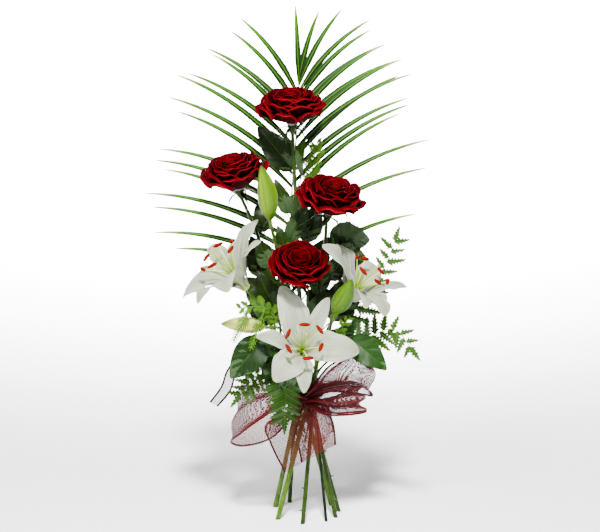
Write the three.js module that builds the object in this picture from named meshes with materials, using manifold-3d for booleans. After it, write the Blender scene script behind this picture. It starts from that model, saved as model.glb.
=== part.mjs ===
// A hand-tied spiral bouquet that stands on its own cut stems: four open red roses, three white
// lilies with three buds, a palm frond as the fan behind them, fern fronds, cedar sprigs and broad
// leaves, held by a twine tie with a sheer ribbon bow over it. Every stem crosses the bunch at the
// tie, so the heads lean one way and the cut ends splay the other way, like the legs of a stool.
//
// Millimetres. +X is to the right, +Y away from the front, +Z up.
import * as THREE from 'three';
import { mergeVertices } from 'three/addons/utils/BufferGeometryUtils.js';
import Module from 'manifold-3d';

const wasm = await Module();
wasm.setup();

// ---------------------------------------------------------------- driving dimensions

const TIE_HEIGHT = 171; // the twine's middle above the floor
const TIE_BAND = 12; // how far up the stems the twine is wound
const TIE_INSIDE = 16.6; // radius of the hole that the stems fill
const FOOT_CIRCLE = 50; // radius that the cut ends stand on
const SHOULDER = 206; // above this height each stem bends towards its own head
const TAIL = 112; // height where the sprays' short stems end, under the tie
const FIT = 0.3; // gap between two pieces that touch
const BLADE = 0.7; // thickness of leaves and leaflets
const PETAL = 0.8; // thickness of petals and tepals
const RIBBON = 0.8; // thickness of the ribbon's closed stand-in

const ROSE_STEM = 3.1; // radii of the stems
const LILY_STEM = 3.6;
const PALM_STEM = 2.3;
const BRANCH_STEM = 1.7;
const SPRAY_STEM = 1.4;
const PEDICEL = 1.9;
const PETIOLE = 0.9;

// ---------------------------------------------------------------- materials

const finish = (color, roughness) => new THREE.MeshStandardMaterial({ color, roughness, metalness: 0 });
const FINISHES = {
  rose_red: finish('#a30d18', 0.75),
  rose_green: finish('#33491f', 0.6),
  lily_white: finish('#f3f2ea', 0.5),
  lily_stamen: finish('#c9632a', 0.6),
  lily_green: finish('#5d7d2a', 0.5),
  bud_green: finish('#a9c23c', 0.45),
  bud_cream: finish('#dcdc94', 0.45),
  palm_green: finish('#3f7423', 0.45),
  fern_green: finish('#4a8a22', 0.6),
  cedar_green: finish('#5f9a2a', 0.7),
  leaf_green: finish('#2c4a22', 0.5),
  twine: finish('#8b7348', 0.9),
  ribbon_burgundy: finish('#7a1f2a', 0.6),
};

// ---------------------------------------------------------------- small helpers

const v2 = (x, y) => new THREE.Vector2(x, y);
const v3 = (x, y, z) => new THREE.Vector3(x, y, z);
const rad = THREE.MathUtils.degToRad;
const mix = THREE.MathUtils.lerp;
const UP = v3(0, 0, 1);
const FRONT = v3(0, -1, 0);

// A repeatable draw from 0 to 1.
const draw = (n) => {
  const s = Math.sin(n * 12.9898 + 4.1414) * 43758.5453;
  return s - Math.floor(s);
};

// The value at t between keys [t, value], eased from each to the next.
function keyed(keys, t) {
  const k = Math.max(1, keys.findIndex(([place]) => t <= place));
  const [[low, from], [high, to]] = [keys[k - 1], keys[k]];
  return mix(from, to, THREE.MathUtils.smoothstep(t, low, high));
}

// The point at t of a cubic Bezier through four [radius, height] pairs.
const bezier = (p, t) => {
  const k = [(1 - t) ** 3, 3 * t * (1 - t) ** 2, 3 * t * t * (1 - t), t ** 3];
  return p[0].map((_, axis) => k.reduce((sum, weight, i) => sum + weight * p[i][axis], 0));
};

const smooth = (points) => new THREE.CatmullRomCurve3(points, false, 'centripetal');

const turnOf = (axis, spin) =>
  new THREE.Quaternion()
    .setFromUnitVectors(UP, axis.clone().normalize())
    .multiply(new THREE.Quaternion().setFromAxisAngle(UP, rad(spin)));

// ---------------------------------------------------------------- solids

function solid(geometry) {
  const bare = new THREE.BufferGeometry();
  bare.setAttribute('position', geometry.getAttribute('position'));
  bare.setIndex(geometry.index);
  const merged = mergeVertices(bare, 1e-4);
  const vertProperties = merged.getAttribute('position').array;
  const triVerts = new Uint32Array(merged.index.array);
  return new wasm.Manifold(new wasm.Mesh({ numProp: 3, vertProperties, triVerts }));
}

const fuse = (solids) => wasm.Manifold.union(solids);

function toGeometry(body) {
  const mesh = body.getMesh();
  const positions = new Float32Array(mesh.numVert * 3);
  for (let i = 0; i < mesh.numVert; i++) {
    positions.set(mesh.vertProperties.subarray(i * mesh.numProp, i * mesh.numProp + 3), i * 3);
  }
  const geometry = new THREE.BufferGeometry();
  geometry.setAttribute('position', new THREE.BufferAttribute(positions, 3));
  geometry.setIndex(new THREE.BufferAttribute(new Uint32Array(mesh.triVerts), 1));
  geometry.computeVertexNormals();
  return geometry;
}

// A closed thin blade on surface(u, v), u along it from 0 to 1 and v across it from -1 to 1. Both
// faces are split into triangles alike, so a waved blade never crosses itself.
function blade(surface, stations, across, thickness) {
  const even = (count) => Array.from({ length: count + 1 }, (_, i) => i / count);
  const us = Array.isArray(stations) ? stations : even(stations);
  const rows = us.length;
  const columns = across + 1;
  const step = 0.002;
  const positions = [];
  for (const side of [0.5, -0.5]) {
    for (const u of us) {
      for (let j = 0; j < columns; j++) {
        const v = (2 * j) / across - 1;
        const along = surface(Math.min(u + step, 1), v).sub(surface(Math.max(u - step, 0), v));
        const sideways = surface(u, Math.min(v + step, 1)).sub(surface(u, Math.max(v - step, -1)));
        const normal = along.cross(sideways).normalize();
        positions.push(...surface(u, v).addScaledVector(normal, side * thickness).toArray());
      }
    }
  }
  const under = rows * columns;
  const at = (i, j) => i * columns + j;
  const index = [];
  for (let i = 0; i < rows - 1; i++) {
    for (let j = 0; j < across; j++) {
      const [a, b, c, d] = [at(i, j), at(i + 1, j), at(i + 1, j + 1), at(i, j + 1)];
      index.push(a, b, c, a, c, d);
      index.push(a + under, c + under, b + under, a + under, d + under, c + under);
    }
  }
  const rim = (p, q) => index.push(q, p, p + under, q, p + under, q + under);
  for (let i = 0; i < rows - 1; i++) {
    rim(at(i, 0), at(i + 1, 0));
    rim(at(i + 1, across), at(i, across));
  }
  for (let j = 0; j < across; j++) {
    rim(at(rows - 1, j), at(rows - 1, j + 1));
    rim(at(0, j + 1), at(0, j));
  }
  const geometry = new THREE.BufferGeometry();
  geometry.setAttribute('position', new THREE.BufferAttribute(new Float32Array(positions), 3));
  geometry.setIndex(index);
  return solid(geometry);
}

// A path is a list of points joined by straight runs. along() gives the place and the heading at a
// share of its length.
function along(path, share) {
  const lengths = path.slice(1).map((point, k) => point.distanceTo(path[k]));
  let left = share * lengths.reduce((sum, length) => sum + length);
  let k = 0;
  while (k < lengths.length - 1 && left > lengths[k]) {
    left -= lengths[k];
    k += 1;
  }
  const heading = path[k + 1].clone().sub(path[k]).normalize();
  return { point: path[k].clone().addScaledVector(heading, left), heading };
}

// The point of a rising path at a height.
function atHeight(path, height) {
  const k = path.findIndex((point) => point.z > height);
  const [below, above] = [path[k - 1], path[k]];
  return below.clone().lerp(above, (height - below.z) / (above.z - below.z));
}

// A closed round limb along a path: a cylinder with a ring at each of the path's points. girth(t)
// is its radius at a share of the length, and lobe(angle) swells it in ribs.
function limb(path, girth, sides, lobe = () => 1) {
  const last = path.length - 1;
  const runs = path.slice(1).map((point, k) => point.clone().sub(path[k]));
  const length = runs.reduce((sum, run) => sum + run.length(), 0);
  let heading = v3(0, 1, 0);
  let turn = new THREE.Quaternion();
  let covered = 0;
  const rings = path.map((point, k) => {
    const before = runs[Math.max(k - 1, 0)].clone().normalize();
    const next = runs[Math.min(k, last - 1)].clone().normalize().add(before).normalize();
    turn = new THREE.Quaternion().setFromUnitVectors(heading, next).multiply(turn);
    heading = next;
    const reach = girth(covered / length);
    if (k < last) covered += runs[k].length();
    return { point, turn, reach };
  });
  const geometry = new THREE.CylinderGeometry(1, 1, 1, sides, last);
  const place = geometry.getAttribute('position');
  for (let i = 0; i < place.count; i++) {
    const ring = rings[Math.round((place.getY(i) + 0.5) * last)];
    const [x, z] = [place.getX(i), place.getZ(i)];
    const reach = ring.reach * lobe(Math.atan2(z, x));
    const corner = v3(x * reach, 0, z * reach).applyQuaternion(ring.turn).add(ring.point);
    place.setXYZ(i, corner.x, corner.y, corner.z);
  }
  return solid(geometry);
}

const lathe = (profile, sides) =>
  new THREE.LatheGeometry(profile.map(([radius, height]) => v2(radius, height)), sides).rotateX(Math.PI / 2);

const aboveFloor = (body) => body.trimByPlane([0, 0, 1], 0);

const bouquet = new THREE.Group();

function add(name, body, material, position, turn) {
  const mesh = new THREE.Mesh(toGeometry(body), material);
  mesh.name = name;
  if (position) mesh.position.copy(position);
  if (turn) mesh.quaternion.copy(turn);
  bouquet.add(mesh);
}

// ---------------------------------------------------------------- the spiral of stems

// The stems that stand shoulder to shoulder round the inside of the tie, in the order that their
// heads stand round the bunch, counter-clockwise from the back.
const RING = [
  ['palm', PALM_STEM],
  ['rose_top', ROSE_STEM],
  ['rose_left', ROSE_STEM],
  ['lily_left', LILY_STEM],
  ['fern_left', SPRAY_STEM],
  ['foliage_left', BRANCH_STEM],
  ['fern_front', SPRAY_STEM],
  ['rose_front', ROSE_STEM],
  ['lily_front', LILY_STEM],
  ['cedar_right', SPRAY_STEM],
  ['foliage_right', BRANCH_STEM],
  ['lily_right', LILY_STEM],
  ['fern_low_right', SPRAY_STEM],
  ['rose_right', ROSE_STEM],
  ['fern_high_right', SPRAY_STEM],
];
const RING_START = 12; // where round the tie the first of them stands, in degrees

// Thin sprays that stand inside the ring, each against the stem named beside it.
const NESTED = [
  ['cedar_left', 'lily_left'],
  ['cedar_tall', 'rose_top'],
];

const CROSSING = {};

function seatStems() {
  const seat = (girth) => TIE_INSIDE - FIT - girth;
  const share = (girth) => 2 * Math.asin(girth / seat(girth));
  const spare = (2 * Math.PI - RING.reduce((sum, [, girth]) => sum + share(girth), 0)) / RING.length;
  let angle = rad(RING_START);
  for (const [name, girth] of RING) {
    angle += share(girth) / 2;
    CROSSING[name] = { angle, radius: seat(girth), girth };
    angle += share(girth) / 2 + spare;
  }
  for (const [name, host] of NESTED) {
    const { angle: beside, radius, girth } = CROSSING[host];
    CROSSING[name] = { angle: beside, radius: radius - girth - FIT - SPRAY_STEM, girth: SPRAY_STEM };
  }
}
seatStems();

// Each stem passes the tie on a slant, and all slants are alike, so no two stems meet.
const SLANT = Math.sqrt(FOOT_CIRCLE ** 2 - TIE_INSIDE ** 2) / TIE_HEIGHT;

function onStem(name, height) {
  const { angle, radius } = CROSSING[name];
  const run = SLANT * (height - TIE_HEIGHT);
  return v3(
    radius * Math.cos(angle) - run * Math.sin(angle),
    radius * Math.sin(angle) + run * Math.cos(angle),
    height,
  );
}

// The cut end runs on a little under the floor, and aboveFloor() cuts it level.
const UNDER_FLOOR = -8;

// A stem's path: straight from its cut end to the shoulder, and then bent through the points given.
function stemPath(name, lowest, points, runs) {
  const bend = smooth([onStem(name, TIE_HEIGHT), onStem(name, SHOULDER), ...points.map((p) => v3(...p))]);
  const shoulder = 1 / (points.length + 1);
  const path = [onStem(name, lowest)];
  for (let k = 0; k <= runs; k++) path.push(bend.getPoint(mix(shoulder, 1, k / runs)));
  return path;
}

// ---------------------------------------------------------------- leaves

// Outlines: half the width at u, as a share of the widest.
const ovate = (u) => 0.06 + 0.94 * Math.sin(Math.PI * u ** 0.72) ** 0.85;
const lance = (u) => 0.07 + 0.93 * Math.sin(Math.PI * u ** 0.8);

// Stations for a toothed edge: each tooth's point, and the notch just past it.
function teeth(count) {
  const stations = [0];
  for (let k = 1; k < count; k++) stations.push(k / count, (k + 0.28) / count);
  stations.push(1);
  return stations;
}

const notched = (outline, count, depth) => (u) => {
  const phase = u * count - Math.floor(u * count + 1e-6);
  const inside = phase > 0.2 && phase < 0.4 ? depth : 0;
  return outline(u) * (1 - inside);
};

const BROAD = 36; // leaves wider than this are folded along the midrib

// A leaf from base to tip whose face looks along facing. arch lifts its middle.
function leafSurface({ base, tip, facing, width, arch = 6 }, outline) {
  const fold = width > BROAD ? 0.18 : 0;
  const from = v3(...base);
  const reach = v3(...tip).sub(from);
  const side = reach.clone().cross(v3(...facing)).normalize();
  const up = side.clone().cross(reach).normalize();
  return (u, v) => {
    const half = (width / 2) * outline(u);
    return from
      .clone()
      .addScaledVector(reach, u)
      .addScaledVector(up, arch * 4 * u * (1 - u) + fold * half * Math.abs(v))
      .addScaledVector(side, v * half);
  };
}

// A leaf and its stalk, which leaves the stem at the height named in the leaf.
function leaf(stem, spec) {
  const { kind = 'rose', at, base, count = 4, width } = spec;
  const toothed = kind === 'rose';
  const outline = toothed ? notched(ovate, count, 0.13) : kind === 'lance' ? lance : ovate;
  const surface = leafSurface(spec, outline);
  const root = atHeight(stem, at);
  const stalk = [root, root.clone().lerp(v3(...base), 0.55), v3(...base), surface(0.08, 0)];
  return [
    blade(surface, toothed ? teeth(count) : 5, width > BROAD ? 2 : 1, BLADE),
    limb(stalk, () => PETIOLE, 3),
  ];
}

// ---------------------------------------------------------------- roses

const ROSES = {
  top: {
    base: [-18, 12, 562], axis: [-0.03, -0.16, 1], spin: 10, spread: 1,
    via: [[-8, 22, 330], [-14, 16, 480]],
    leaves: [
      { at: 474, base: [-17, 34, 494], tip: [-66, 44, 553], width: 44, facing: [0.1, -1, 0.1], count: 5 },
      { kind: 'lance', at: 462, base: [-5, 10, 490], tip: [1, -2, 546], width: 22, facing: [-1, -0.8, 0.2] },
      { at: 440, base: [-6, 28, 470], tip: [-18, 32, 420], width: 22, facing: [0.2, -1, 0.2], arch: 2 },
      { at: 404, base: [-24, 10, 436], tip: [-42, 6, 486], width: 24, facing: [0.3, -1, 0] },
    ],
  },
  left: {
    base: [-92, 8, 471], axis: [-0.26, -0.2, 1], spin: 55, spread: 0.95,
    via: [[-26, 12, 280], [-69, 17, 410]],
    leaves: [
      { at: 388, base: [-57, 18, 408], tip: [-69, 28, 444], width: 28, facing: [0.3, -1, 0] },
      { at: 340, base: [-48, 0, 362], tip: [-68, -8, 404], width: 32, facing: [0.2, -1, 0.2] },
    ],
  },
  right: {
    base: [32, -5, 439], axis: [0.2, -0.26, 1], spin: 20, spread: 1,
    via: [[16, -4, 280], [27, -4, 380]],
    leaves: [
      { at: 366, base: [35, 30, 405], tip: [92, 36, 391], width: 54, facing: [0, -1, -0.15], count: 5 },
    ],
  },
  front: {
    base: [-8, -42, 350], axis: [0.04, -0.5, 1], spin: 70, spread: 0.35,
    via: [[-10, -18, 250], [-9, -27, 310]],
    leaves: [],
  },
};

const HIP_LENGTH = 12; // the green hip under the petals

// Each ring of petals: how many, the rim's radius and height, how far it has opened, how far the
// petals' corners roll under, the height of the roots, and the runs that a petal is split into.
const PETAL_RINGS = [
  { count: 3, rim: 20, height: 48, open: 0.2, roll: 0, root: 12, runs: 2 },
  { count: 4, rim: 35, height: 43, open: 0.6, roll: 2, root: 8, runs: 3 },
  { count: 5, rim: 50, height: 30, open: 1, roll: 5, root: 4.5, runs: 3 },
];
const PETAL_ROOT = 6.4; // radius where the petals leave the heart
const PETAL_OVERLAP = 0.6; // half a petal's width, as a share of its part of the ring
const PINWHEEL = 0.14; // each petal stands this much further out at one edge, over its neighbour

// A petal in its ring: a cup that opens to a rim rolled outwards, with a blunt point in the middle.
function petalSurface(ring, which, order, spread) {
  const rim = mix(ring.rim * 0.72, ring.rim, spread);
  const height = ring.height + mix(9, 0, spread) * ring.open;
  const profile = [
    [PETAL_ROOT, ring.root],
    [mix(PETAL_ROOT, rim, mix(0.9, 0.55, ring.open)), mix(ring.root, height, 0.12)],
    [mix(PETAL_ROOT, rim, mix(1.06, 0.86, ring.open)), mix(ring.root, height, mix(0.75, 1.2, ring.open))],
    [rim, height],
  ];
  const middle = rad((360 / ring.count) * which + 47 * order);
  const halfAngle = (rad(360) / ring.count) * PETAL_OVERLAP;
  return (u, v) => {
    const [radius, z] = bezier(profile, u * (1 - 0.14 * v ** 4));
    const fan = 0.3 + 0.7 * Math.sin((Math.PI / 2) * Math.min(1, 1.3 * u));
    const angle = middle + v * halfAngle * fan * (1 - 0.3 * u ** 3 * ring.open);
    const reach = radius * (1 + PINWHEEL * v);
    return v3(reach * Math.cos(angle), reach * Math.sin(angle), z - ring.roll * u ** 4 * v * v);
  };
}

function roseBloom(spread) {
  const heart = [[0, 0.3], [6, 0.3], [9, 8], [11, 28], [9.5, 42], [5, 46], [0, 43]];
  const parts = [solid(lathe(heart, 6))];
  PETAL_RINGS.forEach((ring, order) => {
    for (let which = 0; which < ring.count; which++) {
      parts.push(blade(petalSurface(ring, which, order, spread), ring.runs, 2, PETAL));
    }
  });
  return fuse(parts);
}

// The green hip under the bloom, with five sepals bent back from its top.
function hipAndSepals(base, axis, spin) {
  const turn = turnOf(axis, spin);
  const profile = [[0, -HIP_LENGTH - 3], [2.6, -HIP_LENGTH - 3], [6.4, -6], [7, -1], [6.2, 0], [0, 0]];
  const hip = lathe(profile, 6).applyQuaternion(turn).translate(base.x, base.y, base.z);
  const parts = [solid(hip)];
  for (let k = 0; k < 5; k++) {
    const way = rad(72 * k + 20);
    const path = [[5, -3.5], [17, -1], [24, -10], [21 + 6 * draw(k + spin), -21]];
    const sepal = (u, v) => {
      const [radius, z] = bezier(path, u);
      const half = v * (1.6 * (1 - u) ** 0.6 + 0.5);
      return v3(radius, half, z).applyAxisAngle(UP, way).applyQuaternion(turn).add(base);
    };
    parts.push(blade(sepal, 2, 1, BLADE));
  }
  return parts;
}

const THORNS = { count: 3, first: 0.06, pitch: 0.06, length: 6, girth: 1.8 };

function thorns(stem, seed) {
  const parts = [];
  for (let k = 0; k < THORNS.count; k++) {
    const { point } = along(stem, THORNS.first + THORNS.pitch * (k + 0.5 * draw(seed + k)));
    const way = rad(360 * draw(seed + k + 5));
    const outwards = v3(Math.cos(way), Math.sin(way), 0.15).normalize();
    const cone = new THREE.ConeGeometry(THORNS.girth, THORNS.length, 3)
      .translate(0, ROSE_STEM - 1.2 + THORNS.length / 2, 0)
      .applyQuaternion(new THREE.Quaternion().setFromUnitVectors(v3(0, 1, 0), outwards))
      .translate(point.x, point.y, point.z);
    parts.push(solid(cone));
  }
  return parts;
}

function rose(name, spec, seed) {
  const base = v3(...spec.base);
  const axis = v3(...spec.axis).normalize();
  add(`rose_${name}_bloom`, roseBloom(spec.spread), FINISHES.rose_red, base, turnOf(axis, spec.spin));
  const neck = base.clone().addScaledVector(axis, -HIP_LENGTH);
  const stem = stemPath(`rose_${name}`, UNDER_FLOOR, [...spec.via, neck.toArray()], 7);
  const parts = [limb(stem, (t) => mix(ROSE_STEM, 2.5, t), 6)];
  parts.push(...hipAndSepals(base, axis, spec.spin), ...thorns(stem, seed));
  for (const one of spec.leaves) parts.push(...leaf(stem, one));
  add(`rose_${name}_stem`, aboveFloor(fuse(parts)), FINISHES.rose_green);
}

// ---------------------------------------------------------------- lilies

const LILIES = {
  front: {
    base: [-6, -62, 252], axis: [0.1, -0.83, 0.56], spin: 64, size: 0.95, open: 0.55,
    inner: [[-12, 1.3, 0.92, 4], [-9, 0.9, 0.98, -4], [-3, 1.1, 1, -4]],
    outer: [[3, 1.05, 0.85, 0], [-15, 0.85, 0.8, 0], [-30, 0.85, 0.9, 0]],
    via: [[-6, -42, 228]],
    leaves: [],
  },
  left: {
    base: [-80, -36, 338], axis: [-0.6, -0.21, 0.77], spin: 106, size: 1.08, open: 0.4,
    inner: [[6, 1.05, 1.1, 0], [-15, 1.15, 0.8, 4], [-3, 1.1, 0.95, 8]],
    outer: [[-3, 1.05, 0.9, 8], [-3, 0.85, 1, 12], [0, 0.75, 0.9, 8]],
    via: [[-29, 2, 240], [-58, -14, 300]],
    leaves: [
      { kind: 'lance', at: 262, base: [-44, -24, 292], tip: [-76, -44, 330], width: 24, facing: [0, -1, 0] },
    ],
  },
  right: {
    base: [56, -24, 316], axis: [0.58, -0.22, 0.79], spin: 21, size: 1, open: 0.4,
    inner: [[-3, 0.97, 0.75, 4], [-18, 1.1, 1.1, 12], [-9, 0.9, 1.1, -4]],
    outer: [[15, 1.05, 0.7, 12], [-12, 1, 1, 11], [14, 0.95, 0.9, 2]],
    via: [[18, -14, 232], [36, -24, 286]],
    leaves: [
      { kind: 'lance', at: 236, base: [30, -34, 252], tip: [66, -50, 296], width: 15, facing: [0, -1, 0.3] },
    ],
  },
};

// Three broad inner tepals and, behind them, three narrower ones. A lily opens from a trumpet, 0,
// to tepals that bend right back, 1. Each lily names for every tepal its own swing in degrees, how
// much longer and wider it is than the rule below, and how much higher its tip stands.
const TEPALS = {
  inner: { turn: 60, width: 46, reach: 84, behind: 0 },
  outer: { turn: 0, width: 29, reach: 88, behind: 5.5 },
};

function tepalSurface(kind, which, { size, open, [kind]: own }) {
  const { turn, width, behind } = TEPALS[kind];
  const [swing, longer, wider, rise] = own[which];
  const way = rad(120 * which + turn + swing);
  const reach = TEPALS[kind].reach * longer;
  const droop = 10 * draw(which + turn);
  const tip = [mix(0.74 * reach, reach, open), mix(66, 32, open) + rise - droop];
  const profile = [[4, 1.5], [7, 28], [mix(0.36, 0.5, open) * reach, 60], tip];
  const phase = 6 * draw(which + 11);
  return (u, v) => {
    const [radius, z] = bezier(profile, u);
    const body = 0.12 + 0.88 * Math.max(0, Math.sin(Math.PI * u ** 1.45)) ** 0.75;
    const half = Math.max((width / 2) * wider * body, 0.5 / size);
    const trough = 0.2 * half * v * v * (1 - 1.6 * u);
    const wave = 2 * v * v * Math.sin(11 * u + phase + (v > 0 ? 1.4 : 0)) * Math.sin(Math.PI * u);
    const wrap = ((v * half) ** 2 / (2 * radius)) * Math.max(0, 1 - 1.6 * u);
    const back = behind * Math.min(1, 3 * u);
    const out = radius - wrap + 0.35 * back + (behind ? 1.4 : 0);
    return v3(
      out * Math.cos(way) - v * half * Math.sin(way),
      out * Math.sin(way) + v * half * Math.cos(way),
      z + trough + wave - back,
    ).multiplyScalar(size);
  };
}

const THROAT = 3.4; // height of the tepals' joined foot
const TEPAL_STATIONS = [0, 0.28, 0.56, 0.84, 1]; // closer towards the blunt tip

function lilyTepals(spec) {
  const { size } = spec;
  const foot = lathe([[0, FIT], [3.4 * size, FIT], [6.6 * size, THROAT], [0, THROAT]], 7);
  const parts = [solid(foot)];
  for (const kind of ['outer', 'inner']) {
    for (let which = 0; which < 3; which++) {
      parts.push(blade(tepalSurface(kind, which, spec), TEPAL_STATIONS, 2, PETAL));
    }
  }
  return fuse(parts);
}

const ANTHER = { length: 14, girth: 2.2 };

// The pistil and six stamens rise from one small disc deep in the throat.
function lilyStamens(size) {
  const disc = THROAT + FIT;
  const pistil = [v3(0, 0, disc + 1), v3(1, 0.5, 36 * size), v3(4.6, 1.8, 70 * size), v3(5, 2, 74 * size)];
  const parts = [
    solid(lathe([[0, disc], [1.8, disc], [1.6, disc + 2.4], [0, disc + 2.4]], 5)),
    limb(pistil, (t) => (t > 0.99 ? 2.8 : 1.1), 4),
  ];
  for (let k = 0; k < 6; k++) {
    const way = rad(60 * k + 30 + 8 * draw(k));
    const outwards = v3(Math.cos(way), Math.sin(way), 0);
    const tip = outwards.clone().multiplyScalar((24 + 6 * draw(k + 20)) * size);
    tip.z = (62 + 5 * draw(k + 30)) * size;
    const start = outwards.clone().setZ(disc + 1);
    const bend = outwards.clone().multiplyScalar(5.5).setZ(32 * size);
    parts.push(limb([start, bend, tip], () => 0.8, 3));
    const anther = new THREE.OctahedronGeometry(1, 0)
      .scale(ANTHER.length / 2, ANTHER.girth, ANTHER.girth)
      .rotateZ(way + Math.PI / 2)
      .translate(tip.x, tip.y, tip.z);
    parts.push(solid(anther));
  }
  return fuse(parts);
}

const BUDS = {
  upright: {
    on: 'left', at: 250, via: [[-36, -6, 300], [-38, -6, 376]],
    base: [-48, -34, 436], tip: [-60, -46, 514], girth: 14, finish: 'bud_green',
  },
  right: {
    on: 'right', at: 244, via: [[34, -50, 284]],
    base: [40, -82, 317], tip: [63, -111, 370], girth: 13.5, finish: 'bud_green',
  },
  left: {
    on: 'left', at: 236, via: [[-40, -30, 266]],
    base: [-56, -52, 288], tip: [-116, -64, 296], girth: 11.5, finish: 'bud_cream',
  },
};
const BUD_NECK = 9; // how far under a bud its stalk runs straight

// A bud is three pairs of folded tepals: a spindle with three soft furrows.
function bud(name, { base, tip, girth, finish: colour }) {
  const [from, to] = [v3(...base), v3(...tip)];
  const axis = to.clone().sub(from);
  const bow = v3(axis.z, 0, -axis.x).setLength(axis.length() * 0.03);
  const path = smooth([from.clone(), from.clone().lerp(to, 0.5).add(bow), to]).getPoints(5);
  const shape = (t) => girth * (0.16 + 0.84 * Math.sin(Math.PI * t ** 0.78) ** 0.95) * (t > 0.98 ? 0.45 : 1);
  add(`bud_${name}`, limb(path, shape, 9, (a) => 1 - 0.07 * Math.cos(3 * a)), FINISHES[colour]);
}

// A bud's stalk, which leaves the lily's stem and comes up under the bud.
function pedicel(stem, { at, via, base, tip }) {
  const axis = v3(...tip).sub(v3(...base)).normalize();
  const under = (gap) => v3(...base).addScaledVector(axis, -gap);
  const path = smooth([atHeight(stem, at), ...via.map((p) => v3(...p)), under(BUD_NECK)]).getPoints(4);
  return limb([...path, under(2 * FIT)], (t) => mix(PEDICEL, PEDICEL + 0.6, t), 5);
}

function lily(name, spec) {
  const base = v3(...spec.base);
  const axis = v3(...spec.axis).normalize();
  const turn = turnOf(axis, spec.spin);
  add(`lily_${name}_tepals`, lilyTepals(spec), FINISHES.lily_white, base, turn);
  add(`lily_${name}_stamens`, lilyStamens(spec.size), FINISHES.lily_stamen, base, turn);
  const neck = base.clone().addScaledVector(axis, -FIT);
  const stem = stemPath(`lily_${name}`, UNDER_FLOOR, [...spec.via, neck.toArray()], 6);
  const parts = [limb(stem, (t) => mix(LILY_STEM, PEDICEL + 0.4, t ** 2), 6)];
  for (const one of Object.values(BUDS).filter((each) => each.on === name)) parts.push(pedicel(stem, one));
  for (const one of spec.leaves) parts.push(...leaf(stem, one));
  add(`lily_${name}_stem`, aboveFloor(fuse(parts)), FINISHES.lily_green);
}

// ---------------------------------------------------------------- palm frond

const PALM = {
  via: [[-14, 38, 300], [-20, 60, 420], [-12, 74, 540], [-8, 78, 624]],
  low: 0.55, // share of the stalk below the lowest leaflet
  pairs: 12,
  rise: 15, // how much steeper a leaflet sets off than its tip lies
  upright: 45, // leaflets that lean less than this rise less
  width: 8,
};
// Keyed from the lowest leaflet, 0, to the top one, 1: how long, and how far out from upright. With
// a bunching under 1 that side's leaflets crowd towards the top.
const PALM_LENGTH = [[0, 184], [0.3, 210], [0.55, 200], [0.75, 168], [0.9, 140], [1, 102]];
const PALM_SIDES = [
  { side: -1, bunching: 1, lean: [[0, 77], [0.35, 68], [0.55, 54], [0.8, 48], [0.93, 34], [1, 5]] },
  { side: 1, bunching: 0.6, lean: [[0, 64], [0.2, 66], [0.4, 55], [0.8, 52], [0.93, 41], [1, 17]] },
];

// A leaflet sets off steeply from the stalk and arches over to its tip.
function palmLeaflet(root, { side, lean: leans }, share, seed) {
  const length = keyed(PALM_LENGTH, share) * (0.93 + 0.14 * draw(seed));
  const lean = keyed(leans, share) + 8 * (draw(seed + 60) - 0.5);
  const sway = 0.16 * (draw(seed + 30) - 0.5);
  const towards = (degrees) => v3(side * Math.sin(rad(degrees)), sway, Math.cos(rad(degrees)));
  const rise = PALM.rise * Math.min(1, lean / PALM.upright);
  const knee = root.clone().addScaledVector(towards(lean - rise), length * 0.55);
  const tip = root.clone().addScaledVector(towards(lean), length);
  const spine = new THREE.QuadraticBezierCurve3(root, knee, tip);
  const across = tip.clone().sub(root).cross(FRONT).normalize();
  const half = (u) => (PALM.width / 2) * Math.min(1, 0.3 + 2.4 * u) * (1 - u) ** 0.6 + 0.4;
  return blade((u, v) => spine.getPoint(u).addScaledVector(across, v * half(u)), 3, 1, BLADE);
}

function palm() {
  const stalk = stemPath('palm', UNDER_FLOOR, PALM.via, 9);
  const parts = [limb(stalk, (t) => mix(PALM_STEM, 0.9, t), 4)];
  for (let k = 0; k <= PALM.pairs; k++) {
    for (const one of PALM_SIDES) {
      const place = (k / PALM.pairs) ** one.bunching;
      const { point } = along(stalk, mix(PALM.low, 0.98, place) + (one.side > 0 ? 0.012 : 0));
      parts.push(palmLeaflet(point, one, place, 2 * k + one.side));
    }
  }
  add('palm_frond', aboveFloor(fuse(parts)), FINISHES.palm_green);
}

// ---------------------------------------------------------------- ferns

const FERNS = {
  high_right: {
    via: [[36, 10, 250], [84, 32, 310], [112, 36, 352], [128, 32, 396]],
    low: 0.56, pairs: 3, reach: 34, facing: [0.1, -1, 0.1],
  },
  low_right: {
    via: [[34, -8, 228], [86, -34, 268], [124, -48, 284], [148, -56, 258]],
    low: 0.56, pairs: 3, reach: 34, facing: [0, -1, 0.3],
  },
  left: {
    via: [[-34, -2, 222], [-62, -40, 222], [-92, -58, 190]],
    low: 0.56, pairs: 3, reach: 32, facing: [0, -1, 0.4],
  },
  front: {
    via: [[-25, -22, 216], [-26, -50, 206], [-28, -64, 158]],
    low: 0.66, pairs: 3, reach: 30, facing: [0, -1, 0.2],
  },
};

// One side branch of a fern, cut almost to its rib into lobes that point forwards.
function pinna(root, way, facing, length, lobes) {
  const across = way.clone().cross(facing).normalize();
  const pitch = 1 / (lobes + 0.4);
  const stations = [0];
  for (let k = 0; k < lobes; k++) stations.push((k + 0.6) * pitch, (k + 1) * pitch);
  stations.push(1);
  return blade(
    (u, v) => {
      const phase = u / pitch - Math.floor(u / pitch + 1e-6);
      const lobed = phase > 0.5 && phase < 0.7;
      const half = length * 0.26 * (1 - 0.7 * u) * (lobed ? 1 : 0.25 * Math.min(1, 9 * u)) + 0.4;
      const forwards = lobed ? 0.06 * length * Math.abs(v) : 0;
      return root
        .clone()
        .addScaledVector(way, u * length + forwards)
        .addScaledVector(across, v * half)
        .addScaledVector(facing, -0.12 * length * u * u);
    },
    stations,
    1,
    BLADE,
  );
}

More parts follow.
